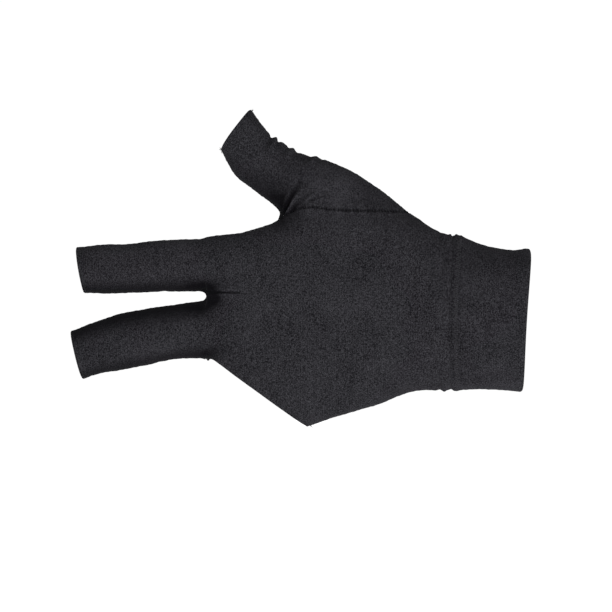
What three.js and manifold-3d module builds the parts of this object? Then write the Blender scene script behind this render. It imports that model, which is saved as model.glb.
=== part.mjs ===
// A three-finger billiard glove for the left hand, in the shape it has when it is worn. Thin stretch cloth covers the
// wrist, the hand, the thumb, the index finger and the middle finger. The three finger stalls are open at the tip, and
// a slanted opening across the knuckles leaves the ring finger and the little finger bare.
//
// Units are millimetres. The origin is the centre of the open wrist end. +X runs along the forearm, out of the glove,
// so the fingers point along -X. +Z is the thumb side. The back of the hand faces -Y and the palm faces +Y.

import * as THREE from 'three';
import { mergeVertices } from 'three/addons/utils/BufferGeometryUtils.js';
import Module from 'manifold-3d';

const wasm = await Module();
wasm.setup();

// Driving sizes: cloth, seams and hems
const WALL = 1.2; // cloth of the hand and the stalls
const CUFF_WALL = 2.0; // cuff cloth, folded double
const HEM_WALL = 1.8; // turned edge, folded double
const HEM_WIDTH = 2.4;
const HEM_START = 1.5; // how far the knuckle hem starts from the middle finger
const SEAM_GAP = 0.3; // clearance between two sewn pieces

// Driving sizes: cuff and hand
const CUFF_LENGTH = 34; // open end to wrist seam
const CUFF_WIDTH = 61;
const CUFF_DEPTH = 42;
const CUFF_END_TILT = 3.5; // degrees that the open end leans
const WRIST_SEAM_BOW = 2.2; // how far the wrist seam bends towards the hand
const HAND_LENGTH = 103.2; // wrist seam to the crotch between the two fingers
const HAND_WIDTH = 89;
const HAND_DEPTH = 31;

// Driving sizes: stalls, measured from the crotch for the fingers and from the wrist for the thumb
const INDEX_LENGTH = 55.3;
const INDEX_WIDTH = 22.6;
const INDEX_DEPTH = 19.6;
const INDEX_TIP_ANGLE = -9; // degrees from -X that the tip opening faces, thumb side up
const MIDDLE_LENGTH = 56.8;
const MIDDLE_WIDTH = 24.4;
const MIDDLE_DEPTH = 20.4;
const MIDDLE_TIP_ANGLE = -14.6;
const FINGER_DROP = 5; // how far the fingertips bend towards the palm
const THUMB_LENGTH = 102;
const THUMB_WIDTH = 24;
const THUMB_DEPTH = 22;
const THUMB_ANGLE = 34.6; // degrees from -X, thumb side up
const THUMB_TIP_TURN = 3.6; // degrees that the tip opening turns on from the thumb
const THUMB_DROP = 8; // how far the thumb lies towards the palm

// Mesh fineness
const HAND_RING_SIDES = 34;
const FINGER_RING_SIDES = 20;
const THUMB_RING_SIDES = 32;
const HAND_STEPS = 18;
const FINGER_STEPS = 8;
const THUMB_STEPS = 28;

const REACH = 400; // larger than the glove, for the blocks that cut it
const OVERRUN = 6; // how far a tube runs on past its cut end

// Squareness of a section's outline: 2 is an ellipse, more is fuller at the corners
const FINGER_SQUARENESS = 2.1;
const THUMB_SQUARENESS = 2.1;

const BEND_START_SHARE = 0.9; // share of HAND_LENGTH past which the fingers bend towards the palm

// Cuff sections. along is a share of CUFF_LENGTH from the open end, thumbSide and littleSide are shares of CUFF_WIDTH
// from the forearm's axis, back and palm are shares of CUFF_DEPTH.
const CUFF_SECTIONS = [
  { along: -0.18, thumbSide: 0.475, littleSide: 0.5, back: 0.48, palm: 0.5, square: 2.2 },
  { along: 0.02, thumbSide: 0.492, littleSide: 0.51, back: 0.488, palm: 0.512, square: 2.2 },
  { along: 0.1, thumbSide: 0.482, littleSide: 0.502, back: 0.48, palm: 0.5, square: 2.2 },
  { along: 0.32, thumbSide: 0.488, littleSide: 0.492, back: 0.475, palm: 0.495, square: 2.2 },
  { along: 0.58, thumbSide: 0.522, littleSide: 0.485, back: 0.47, palm: 0.49, square: 2.2 },
  { along: 0.82, thumbSide: 0.572, littleSide: 0.489, back: 0.465, palm: 0.49, square: 2.2 },
];

// Hand sections. along is a share of HAND_LENGTH from the wrist seam, thumbSide and littleSide are shares of
// HAND_WIDTH, back and palm are shares of HAND_DEPTH.
const HAND_SECTIONS = [
  { along: 0.02, thumbSide: 0.411, littleSide: 0.342, back: 0.63, palm: 0.665, square: 2.2 },
  { along: 0.15, thumbSide: 0.455, littleSide: 0.35, back: 0.58, palm: 0.65, square: 2.4 },
  { along: 0.28, thumbSide: 0.5, littleSide: 0.408, back: 0.53, palm: 0.63, square: 2.6 },
  { along: 0.45, thumbSide: 0.512, littleSide: 0.462, back: 0.485, palm: 0.6, square: 2.8 },
  { along: 0.57, thumbSide: 0.502, littleSide: 0.51, back: 0.465, palm: 0.565, square: 2.8 },
  { along: 0.69, thumbSide: 0.483, littleSide: 0.53, back: 0.455, palm: 0.53, square: 2.8 },
  { along: 0.78, thumbSide: 0.447, littleSide: 0.515, back: 0.442, palm: 0.5, square: 2.8 },
  { along: 0.86, thumbSide: 0.418, littleSide: 0.47, back: 0.426, palm: 0.458, square: 2.7 },
  { along: 0.945, thumbSide: 0.399, littleSide: 0.35, back: 0.394, palm: 0.406, square: 2.6 },
  { along: 1, thumbSide: 0.39, littleSide: 0.191, back: 0.32, palm: 0.32, square: 2.5 },
];

// Finger sections. along is a share of the finger's length from the crotch, lean is how far the finger's axis has
// moved towards the thumb by then, also as a share of its length, half is a share of its width, depth of its depth.
const INDEX_SECTIONS = [
  { along: -0.3, lean: 0.004, half: 0.47, depth: 0.49 },
  { along: 0, lean: 0, half: 0.5, depth: 0.5 },
  { along: 0.21, lean: -0.004, half: 0.49, depth: 0.5 },
  { along: 0.44, lean: -0.011, half: 0.49, depth: 0.49 },
  { along: 0.68, lean: -0.025, half: 0.466, depth: 0.465 },
  { along: 0.83, lean: -0.031, half: 0.46, depth: 0.45 },
  { along: 1, lean: -0.04, half: 0.445, depth: 0.43 },
  { along: 1.14, lean: -0.047, half: 0.43, depth: 0.41 },
];
const MIDDLE_SECTIONS = [
  { along: -0.3, lean: 0.01, half: 0.46, depth: 0.49 },
  { along: 0, lean: 0, half: 0.5, depth: 0.5 },
  { along: 0.2, lean: -0.014, half: 0.48, depth: 0.5 },
  { along: 0.43, lean: -0.051, half: 0.482, depth: 0.49 },
  { along: 0.66, lean: -0.095, half: 0.472, depth: 0.465 },
  { along: 0.81, lean: -0.132, half: 0.455, depth: 0.45 },
  { along: 1, lean: -0.195, half: 0.43, depth: 0.43 },
  { along: 1.14, lean: -0.245, half: 0.41, depth: 0.41 },
];

// Thumb sections, from the wrist end to past the tip. along and bow are shares of THUMB_LENGTH, bow towards the
// forearm, half is a share of THUMB_WIDTH, back and palm are shares of THUMB_DEPTH, drop is a share of THUMB_DROP.
const THUMB_SECTIONS = [
  { along: 0, bow: 0, half: 0.5, back: 0.44, palm: 0.6, drop: 0.1 },
  { along: 0.18, bow: -0.036, half: 0.675, back: 0.5, palm: 0.74, drop: 0.25 },
  { along: 0.37, bow: -0.048, half: 0.76, back: 0.57, palm: 0.86, drop: 0.45 },
  { along: 0.5, bow: -0.045, half: 0.73, back: 0.58, palm: 0.8, drop: 0.65 },
  { along: 0.6, bow: -0.045, half: 0.655, back: 0.55, palm: 0.68, drop: 0.8 },
  { along: 0.72, bow: -0.05, half: 0.52, back: 0.48, palm: 0.52, drop: 0.95 },
  { along: 0.8, bow: -0.051, half: 0.5, back: 0.45, palm: 0.47, drop: 1 },
  { along: 0.87, bow: -0.051, half: 0.487, back: 0.43, palm: 0.45, drop: 1 },
  { along: 0.93, bow: -0.033, half: 0.457, back: 0.41, palm: 0.42, drop: 0.95 },
  { along: 1, bow: 0, half: 0.405, back: 0.385, palm: 0.39, drop: 0.85 },
  { along: 1.07, bow: 0.04, half: 0.38, back: 0.37, palm: 0.37, drop: 0.75 },
];
const THUMB_ROOT = { along: 0.07, height: 0.277 }; // shares of HAND_LENGTH and HAND_WIDTH

// Heights of the finger axes at the crotch, as shares of HAND_WIDTH
const INDEX_ROOT_SHARE = 0.262;
const MIDDLE_ROOT_SHARE = -0.048;

// The seam that joins the thumb piece to the hand, from the fingers to the wrist, as shares of HAND_LENGTH from the
// wrist seam and of HAND_WIDTH above the forearm's axis. The crotch of the thumb is the third row.
const THUMB_SEAM = [
  { along: 1.2, height: 0.62 },
  { along: 0.76, height: 0.505 },
  { along: 0.703, height: 0.49 },
  { along: 0.674, height: 0.501 },
  { along: 0.642, height: 0.526 },
  { along: 0.606, height: 0.537 },
  { along: 0.563, height: 0.541 },
  { along: 0.52, height: 0.534 },
  { along: 0.4, height: 0.525 },
  { along: 0.154, height: 0.523 },
  { along: -0.2, height: 0.523 },
];

// The slanted edge across the knuckles, from the middle finger to the corner on the little finger's side, as shares
// of HAND_LENGTH from the wrist seam and of HAND_WIDTH above the forearm's axis
const KNUCKLE_START = { along: 0.975, height: -0.19 };
const KNUCKLE_END = { along: 0.597, height: -0.511 };

// Creases in the back of the thumb piece, as shares of HAND_LENGTH from the wrist seam and of HAND_WIDTH above the
// axis at both ends, width as a share of THUMB_WIDTH and depth of THUMB_DEPTH. The first two fan out from the crotch
// of the thumb, and the others come down from its outer edge.
const CREASES = [
  { fromAlong: 0.69, fromHeight: 0.5, toAlong: 0.6, toHeight: 0.72, width: 0.125, depth: 0.136 },
  { fromAlong: 0.64, fromHeight: 0.53, toAlong: 0.44, toHeight: 0.64, width: 0.125, depth: 0.09 },
  { fromAlong: 0.735, fromHeight: 0.88, toAlong: 0.775, toHeight: 0.79, width: 0.11, depth: 0.073 },
  { fromAlong: 0.6, fromHeight: 0.78, toAlong: 0.65, toHeight: 0.68, width: 0.11, depth: 0.064 },
];

const handX = (along) => -CUFF_LENGTH - along * HAND_LENGTH;
const handZ = (height) => height * HAND_WIDTH;
const inPlane = ({ along, height }) => new THREE.Vector3(handX(along), 0, handZ(height));
const radians = THREE.MathUtils.degToRad;

// The direction in the plane of the hand at an angle in degrees from -X towards the thumb side.
const facing = (angle) => new THREE.Vector3(-Math.cos(radians(angle)), 0, Math.sin(radians(angle)));

// How far the cloth between back and palm lies towards the palm at a place along the glove: the fingers bend.
function bend(x) {
  const past = Math.max(0, handX(BEND_START_SHARE) - x) / Math.max(INDEX_LENGTH, MIDDLE_LENGTH);
  return FINGER_DROP * Math.min(past * past, past);
}

// Sections in millimetres: a centre, the half width in the plane of the hand, and the depth of back and palm.
const straightSections = (rows, placeX, width, depth) =>
  rows.map((row) => ({
    x: placeX(row.along),
    y: bend(placeX(row.along)),
    z: ((row.thumbSide - row.littleSide) / 2) * width,
    half: ((row.thumbSide + row.littleSide) / 2) * width,
    back: row.back * depth,
    palm: row.palm * depth,
    square: row.square,
  }));

const fingerSections = (rows, root, length, width, depth) =>
  rows.map((row) => {
    const x = handX(1) - row.along * length;
    return {
      x,
      y: bend(x),
      z: handZ(root) + row.lean * length,
      half: row.half * width,
      back: row.depth * depth,
      palm: row.depth * depth,
      square: FINGER_SQUARENESS,
    };
  });

function thumbSections() {
  const forward = facing(THUMB_ANGLE);
  const backward = facing(THUMB_ANGLE + 90);
  return THUMB_SECTIONS.map((row) => {
    const centre = inPlane(THUMB_ROOT)
      .addScaledVector(forward, row.along * THUMB_LENGTH)
      .addScaledVector(backward, row.bow * THUMB_LENGTH);
    return {
      x: centre.x,
      y: row.drop * THUMB_DROP,
      z: centre.z,
      half: row.half * THUMB_WIDTH,
      back: row.back * THUMB_DEPTH,
      palm: row.palm * THUMB_DEPTH,
      square: THUMB_SQUARENESS,
    };
  });
}

// Draws a smooth curve through every column of the rows and returns steps + 1 rows along it.
function refine(rows, steps) {
  const columns = Object.keys(rows[0]);
  const places = [0];
  for (let i = 1; i < rows.length; i++)
    places.push(places[i - 1] + Math.hypot(rows[i].x - rows[i - 1].x, rows[i].z - rows[i - 1].z));
  const values = rows.flatMap((row) => columns.map((column) => row[column]));
  const curve = new THREE.CubicInterpolant(places, values, columns.length);
  return Array.from({ length: steps + 1 }, (_, i) => {
    const found = curve.evaluate((places.at(-1) * i) / steps);
    return Object.fromEntries(columns.map((column, c) => [column, found[c]]));
  });
}

// The width direction of each section: the thumb side for the straight hand, square to the axis for a stall.
function sideDirections(sections, upright) {
  return sections.map((_, i) => {
    if (upright) return new THREE.Vector3(0, 0, 1);
    const before = sections[Math.max(0, i - 1)];
    const after = sections[Math.min(sections.length - 1, i + 1)];
    return new THREE.Vector3(after.z - before.z, 0, before.x - after.x).normalize();
  });
}

const rounded = (value, square) => Math.sign(value) * Math.abs(value) ** (2 / square);

// One closed tube through the sections, with inset taken off its surface and its two flat ends moved out by startRun
// and endRun, or in where they are negative.
function tube(sections, options) {
  const { ring, upright = false, creased = false, inset = 0, startRun = 0, endRun = 0 } = options;
  const sides = sideDirections(sections, upright);
  const last = sections.length - 1;
  const positions = [];
  sections.forEach((section, i) => {
    const run = i === 0 ? -startRun : i === last ? endRun : 0;
    const onward = new THREE.Vector3(-sides[i].z, 0, sides[i].x).multiplyScalar(run);
    const centre = new THREE.Vector3(section.x, section.y, section.z).add(onward);
    for (let k = 0; k < ring; k++) {
      const turn = (2 * Math.PI * k) / ring;
      const across = rounded(Math.cos(turn), section.square) * (section.half - inset);
      const bulge = (Math.sin(turn) > 0 ? section.palm : section.back) - inset;
      const point = centre.clone().addScaledVector(sides[i], across);
      point.y += rounded(Math.sin(turn), section.square) * bulge;
      if (creased && Math.sin(turn) < 0) point.y += creaseDepth(point);
      positions.push(...point.toArray());
    }
    if (i === 0 || i === last) positions.push(...centre.toArray());
  });
  return solidFrom(positions, tubeFaces(sections.length, ring));
}

// Triangles of a tube whose vertices are the first ring, the first cap's centre, the other rings and the last centre.
function tubeFaces(count, ring) {
  const start = (i) => i * ring + (i > 0 ? 1 : 0);
  const faces = [];
  for (let i = 0; i < count - 1; i++)
    for (let k = 0; k < ring; k++) {
      const next = (k + 1) % ring;
      const [a, b, c, d] = [start(i) + k, start(i) + next, start(i + 1) + next, start(i + 1) + k];
      faces.push(a, b, c, a, c, d);
    }
  for (let k = 0; k < ring; k++) {
    const next = (k + 1) % ring;
    faces.push(ring, next, k);
    faces.push(start(count - 1) + ring, start(count - 1) + k, start(count - 1) + next);
  }
  return faces;
}

function solidFrom(positions, faces) {
  return new wasm.Manifold(
    new wasm.Mesh({
      numProp: 3,
      vertProperties: new Float32Array(positions),
      triVerts: new Uint32Array(faces),
    }),
  );
}

// Turns a closed three.js geometry into a solid.
function solidOf(geometry) {
  const bare = geometry.clone();
  bare.deleteAttribute('normal');
  bare.deleteAttribute('uv');
  const merged = mergeVertices(bare);
  return solidFrom(merged.attributes.position.array, merged.index.array);
}

// How far the creases push in a point of the thumb's back.
function creaseDepth(point) {
  let depth = 0;
  for (const crease of CREASES) {
    const from = inPlane({ along: crease.fromAlong, height: crease.fromHeight });
    const to = inPlane({ along: crease.toAlong, height: crease.toHeight });
    const flat = new THREE.Vector3(point.x, 0, point.z);
    const line = new THREE.Line3(from, to);
    const share = line.closestPointToPointParameter(flat, true);
    const away = line.at(share, new THREE.Vector3()).distanceTo(flat) / (crease.width * THUMB_WIDTH);
    depth += crease.depth * Math.exp(-away * away) * Math.sqrt(1 - share);
  }
  return depth * THUMB_DEPTH;
}

// A block that spans everything across the hand and lies between two distances along a direction from a point.
function block(point, direction, from, to, half = REACH, sideways = 0) {
  const angle = Math.atan2(direction.z, direction.x);
  const geometry = new THREE.BoxGeometry(to - from, REACH, 2 * half);
  geometry.translate((from + to) / 2, 0, sideways);
  geometry.rotateY(-angle);
  geometry.translate(point.x, point.y, point.z);
  return solidOf(geometry);
}

// The part of space above a line drawn in the X-Z plane, right through the glove.
function aboveLine(points) {
  const shape = new THREE.Shape([
    ...points.map((p) => new THREE.Vector2(p.x, p.z)),
    new THREE.Vector2(points.at(-1).x, REACH),
    new THREE.Vector2(points[0].x, REACH),
  ]);
  const geometry = new THREE.ExtrudeGeometry(shape, { depth: REACH, bevelEnabled: false });
  geometry.rotateX(Math.PI / 2);
  geometry.translate(0, REACH / 2, 0);
  return solidOf(geometry);
}

// Space on the thumb's side of the thumb seam, moved up by offset.
function thumbSpace(offset) {
  const rows = THUMB_SEAM.map(inPlane);
  const smooth = new THREE.CatmullRomCurve3(rows, false, 'centripetal').getPoints(30);
  return aboveLine(smooth.map((p) => p.setZ(p.z + offset)));
}

// Space on the forearm's side of the wrist seam, moved along +X by offset.
function cuffSpace(offset) {
  const edge = 1.5; // past the cloth, as a share of the cuff's half width
  const points = [];
  for (let share = -edge; share <= edge; share += edge / 6) {
    const x = -CUFF_LENGTH + WRIST_SEAM_BOW * share * share + offset;
    points.push(new THREE.Vector2(x, (share * CUFF_WIDTH) / 2));
  }
  const shape = new THREE.Shape([
    ...points,
    new THREE.Vector2(REACH, points.at(-1).y),
    new THREE.Vector2(REACH, points[0].y),
  ]);
  const geometry = new THREE.ExtrudeGeometry(shape, { depth: REACH, bevelEnabled: false });
  geometry.rotateX(Math.PI / 2);
  geometry.translate(0, REACH / 2, 0);
  return solidOf(geometry);
}

// Space on the palm's side of the sewn edge between back and palm, moved along +Y by offset.
function palmSpace(offset) {
  const farthest = handX(1) - 1.3 * Math.max(INDEX_LENGTH, MIDDLE_LENGTH);
  const points = [];
  const steps = 20;
  for (let i = 0; i <= steps; i++) {
    const x = THREE.MathUtils.lerp(REACH / 2, farthest, i / steps);
    points.push(new THREE.Vector2(x, bend(x) + offset));
  }
  const shape = new THREE.Shape([
    ...points,
    new THREE.Vector2(farthest, REACH),
    new THREE.Vector2(REACH / 2, REACH),
  ]);
  const geometry = new THREE.ExtrudeGeometry(shape, { depth: REACH, bevelEnabled: false });
  geometry.translate(0, 0, -REACH / 2);
  return solidOf(geometry);
}

const union = (solids) => solids.reduce((sum, solid) => sum.add(solid));

// The stalls' and the hand's tubes
const bodySections = refine(
  [
    ...straightSections(CUFF_SECTIONS, (along) => -along * CUFF_LENGTH, CUFF_WIDTH, CUFF_DEPTH),
    ...straightSections(HAND_SECTIONS, handX, HAND_WIDTH, HAND_DEPTH),
  ],
  HAND_STEPS,
);
const indexSections = refine(
  fingerSections(INDEX_SECTIONS, INDEX_ROOT_SHARE, INDEX_LENGTH, INDEX_WIDTH, INDEX_DEPTH),
  FINGER_STEPS,
);
const middleSections = refine(
  fingerSections(MIDDLE_SECTIONS, MIDDLE_ROOT_SHARE, MIDDLE_LENGTH, MIDDLE_WIDTH, MIDDLE_DEPTH),
  FINGER_STEPS,
);
const thumbPath = refine(thumbSections(), THUMB_STEPS);

const bodyTube = (inset, startRun = 0, endRun = 0) =>
  tube(bodySections, { ring: HAND_RING_SIDES, upright: true, inset, startRun, endRun });
const indexTube = (inset, endRun = 0) => tube(indexSections, { ring: FINGER_RING_SIDES, inset, endRun });
const middleTube = (inset, endRun = 0) => tube(middleSections, { ring: FINGER_RING_SIDES, inset, endRun });
const thumbTube = (inset, endRun = 0) =>
  tube(thumbPath, { ring: THUMB_RING_SIDES, creased: true, inset, endRun });

// Where each stall and the cuff end, and the way each opening faces
function fingerTip(rows, root, length, angle) {
  const { lean } = rows.find((row) => row.along === 1);
  const point = new THREE.Vector3(handX(1) - length, 0, handZ(root) + lean * length);
  return { point, direction: facing(angle) };
}
const indexTip = fingerTip(INDEX_SECTIONS, INDEX_ROOT_SHARE, INDEX_LENGTH, INDEX_TIP_ANGLE);
const middleTip = fingerTip(MIDDLE_SECTIONS, MIDDLE_ROOT_SHARE, MIDDLE_LENGTH, MIDDLE_TIP_ANGLE);
const thumbTip = {
  point: inPlane(THUMB_ROOT).addScaledVector(facing(THUMB_ANGLE), THUMB_LENGTH),
  direction: facing(THUMB_ANGLE + THUMB_TIP_TURN),
};
const cuffEnd = { point: new THREE.Vector3(), direction: facing(180 + CUFF_END_TILT) };

const past = ({ point, direction }, distance) => block(point, direction, distance, REACH);

// The slanted knuckle edge: its direction, and the one that faces out of the opening
const knuckleStart = inPlane(KNUCKLE_START);
const knuckleRun = inPlane(KNUCKLE_END).sub(knuckleStart);
const knuckleOut = new THREE.Vector3(knuckleRun.z, 0, -knuckleRun.x).normalize();
const knuckleEdge = { point: knuckleStart, direction: knuckleOut };

const MATERIALS = {
  cloth: new THREE.MeshStandardMaterial({ color: 0x2d2d30, roughness: 0.85, metalness: 0 }),
  cuff: new THREE.MeshStandardMaterial({ color: 0x2e2e31, roughness: 0.85, metalness: 0 }),
  hem: new THREE.MeshStandardMaterial({ color: 0x1f1f22, roughness: 0.9, metalness: 0 }),
};

function meshOf(name, solid, material) {
  const { vertProperties, triVerts } = solid.getMesh();
  const geometry = new THREE.BufferGeometry();
  geometry.setAttribute('position', new THREE.BufferAttribute(vertProperties, 3));
  geometry.setIndex(new THREE.BufferAttribute(triVerts, 1));
  const flat = geometry.toNonIndexed();
  flat.computeVertexNormals();
  const mesh = new THREE.Mesh(flat, material);
  mesh.name = name;
  return mesh;
}

// The cloth of hand and stalls, before it is divided into its pieces
function handShell() {
  const cutStall = (tubeOf, tip) => tubeOf(0).subtract(past(tip, -HEM_WIDTH - SEAM_GAP));
  const outer = union([
    bodyTube(0).subtract(past(knuckleEdge, 0)),
    cutStall(indexTube, indexTip),
    cutStall(middleTube, middleTip),
    cutStall(thumbTube, thumbTip),
  ]);
  const inner = union([
    bodyTube(WALL, OVERRUN, -WALL).subtract(past(knuckleEdge, SEAM_GAP)),
    indexTube(WALL, OVERRUN),
    middleTube(WALL, OVERRUN),
    thumbTube(WALL, OVERRUN),
  ]);
  return outer.subtract(inner);
}

// The strip of space that the knuckle hem fills, grown all round by margin
function knuckleStrip(margin) {
  const length = 2 * knuckleRun.length();
  const sideways = length / 2 + HEM_START - margin;
  return block(knuckleStart, knuckleOut, -HEM_WIDTH - margin, REACH, length / 2, sideways);
}

// Tube walls of a doubled cloth, standing proud of the single cloth by the same on both faces
function doubled(tubeOf, wall) {
  const proud = (wall - WALL) / 2;
  return tubeOf(-proud).subtract(tubeOf(WALL + proud, OVERRUN));
}

const tipHem = (tubeOf, tip) =>
  doubled(tubeOf, HEM_WALL).intersect(block(tip.point, tip.direction, -HEM_WIDTH, 0));

const halfGap = SEAM_GAP / 2;
const openShell = handShell().subtract(cuffSpace(-halfGap));
const handCloth = openShell.subtract(thumbSpace(-halfGap)).subtract(knuckleStrip(SEAM_GAP));

const pieces = {
  back_panel: [handCloth.subtract(palmSpace(-halfGap)), MATERIALS.cloth],
  palm_panel: [handCloth.intersect(palmSpace(halfGap)), MATERIALS.cloth],
  thumb_stall: [openShell.intersect(thumbSpace(halfGap)), MATERIALS.cloth],
  wrist_cuff: [
    doubled(bodyTube, CUFF_WALL)
      .intersect(cuffSpace(halfGap))
      .subtract(past(cuffEnd, 0)),
    MATERIALS.cuff,
  ],
  index_hem: [tipHem(indexTube, indexTip), MATERIALS.hem],
  middle_hem: [tipHem(middleTube, middleTip), MATERIALS.hem],
  thumb_hem: [tipHem(thumbTube, thumbTip), MATERIALS.hem],
  knuckle_hem: [
    doubled(bodyTube, HEM_WALL)
      .intersect(knuckleStrip(0))
      .subtract(past(knuckleEdge, 0))
      .subtract(middleTube(-SEAM_GAP)),
    MATERIALS.hem,
  ],
};

const glove = new THREE.Group();
for (const [name, [solid, material]] of Object.entries(pieces)) {
  glove.add(meshOf(name, solid, material));
}
export default glove;
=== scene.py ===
"""A three-finger billiard glove of thin dark stretch cloth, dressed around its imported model.

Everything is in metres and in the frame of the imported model. The origin is the centre of the open
wrist end, +X runs along the forearm out of the glove, +Z is the thumb's side, the back of the hand
faces -Y and the palm faces +Y.

The worn cloth is made once, as a smooth blend of four limbs: the hand with the wrist, the index
stall, the middle stall and the thumb. It is cut along its seams and its open edges. Each piece is
then folded, puckered and given its thickness, its turned edge and its stitches.
"""

import logging
import math
from dataclasses import dataclass
from enum import Enum
from typing import Callable, NamedTuple, Sequence

import bpy
import numpy as np
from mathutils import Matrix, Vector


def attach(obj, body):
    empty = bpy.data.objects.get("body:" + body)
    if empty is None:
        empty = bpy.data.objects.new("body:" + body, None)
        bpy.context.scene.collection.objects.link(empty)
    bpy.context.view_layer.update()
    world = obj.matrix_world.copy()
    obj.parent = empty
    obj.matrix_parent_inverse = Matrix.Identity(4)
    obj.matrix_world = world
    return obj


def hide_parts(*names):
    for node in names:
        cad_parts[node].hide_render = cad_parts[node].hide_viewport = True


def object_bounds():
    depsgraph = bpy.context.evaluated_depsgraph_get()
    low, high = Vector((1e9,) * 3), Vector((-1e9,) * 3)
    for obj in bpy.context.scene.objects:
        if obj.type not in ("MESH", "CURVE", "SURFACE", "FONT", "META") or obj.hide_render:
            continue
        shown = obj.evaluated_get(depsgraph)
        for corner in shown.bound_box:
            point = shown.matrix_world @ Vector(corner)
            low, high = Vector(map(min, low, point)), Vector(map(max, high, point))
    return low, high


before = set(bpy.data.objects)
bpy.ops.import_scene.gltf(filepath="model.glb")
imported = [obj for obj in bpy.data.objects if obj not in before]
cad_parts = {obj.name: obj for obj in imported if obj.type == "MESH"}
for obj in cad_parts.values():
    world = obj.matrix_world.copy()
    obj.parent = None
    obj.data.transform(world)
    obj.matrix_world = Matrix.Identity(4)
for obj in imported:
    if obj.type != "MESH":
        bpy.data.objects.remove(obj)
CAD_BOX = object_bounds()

import openvdb

log = logging.getLogger("glove")

Array = np.ndarray
Colour = tuple[float, float, float]
Measure = Callable[[Array], Array]
Material = bpy.types.Material
Node = bpy.types.Node
Object = bpy.types.Object
Socket = bpy.types.NodeSocket

MM = 0.001
TINY = 1e-12


def facing(angle: float) -> Array:
    """Gives a direction in the plane of the hand.

    Args:
        angle: Degrees from -X towards the thumb's side.

    Returns:
        A vector of length one.
    """
    turn = math.radians(angle)
    return np.array((-math.cos(turn), 0.0, math.sin(turn)))


def ramp(value: Array, start: float, end: float) -> Array:
    """Rises smoothly from 0 at start to 1 at end, which may lie below start."""
    share = np.clip((value - start) / (end - start), 0.0, 1.0)
    return share * share * (3 - 2 * share)


def hill(value: Array, width: Array | float) -> Array:
    """Gives a smooth hill that is one where the value is zero."""
    return np.exp(-((value / width) ** 2))


def blend(first: Array, second: Array, width: Array | float) -> Array:
    """Joins two distance fields with a fillet.

    Args:
        first: Distances to one surface.
        second: Distances to the other surface.
        width: How far apart two distances may be and still flow into each other.

    Returns:
        Distances to the joined surface.
    """
    near = np.maximum(width - np.abs(first - second), 0) / width
    return np.minimum(first, second) - near * near * width / 4


def unit(vectors: Array) -> Array:
    """Scales each row to length one."""
    return vectors / np.maximum(np.linalg.norm(vectors, axis=-1, keepdims=True), TINY)


class Profile:
    """A smooth curve through the rows of a table, read at any place along it."""

    SAMPLES = 600

    def __init__(self, places: Sequence[float], rows: Sequence[Sequence[float]]) -> None:
        """Fits the curve.

        Args:
            places: Where each row stands, in rising or falling order.
            rows: The numbers that belong to each place.
        """
        order = np.argsort(places)
        knots = np.asarray(places, float)[order]
        values = np.asarray(rows, float)[order]
        slopes = np.gradient(values, knots, axis=0)
        self.places = np.linspace(knots[0], knots[-1], self.SAMPLES)
        start = np.clip(np.searchsorted(knots, self.places, side="right") - 1, 0, len(knots) - 2)
        gap = (knots[start + 1] - knots[start])[:, None]
        t = (self.places - knots[start])[:, None] / gap
        self.columns = (
            values[start] * (1 + 2 * t) * (1 - t) ** 2
            + slopes[start] * gap * t * (1 - t) ** 2
            + values[start + 1] * t**2 * (3 - 2 * t)
            + slopes[start + 1] * gap * t**2 * (t - 1)
        ).T.copy()

    def at(self, place: Array) -> list[Array]:
        """Reads every column at the given places."""
        return [np.interp(place, self.places, column) for column in self.columns]


class Section(NamedTuple):
    """A cross-section of a limb, in metres."""

    along: float
    across: float
    rise: float
    half: float
    back: float
    palm: float
    square: float


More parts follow.
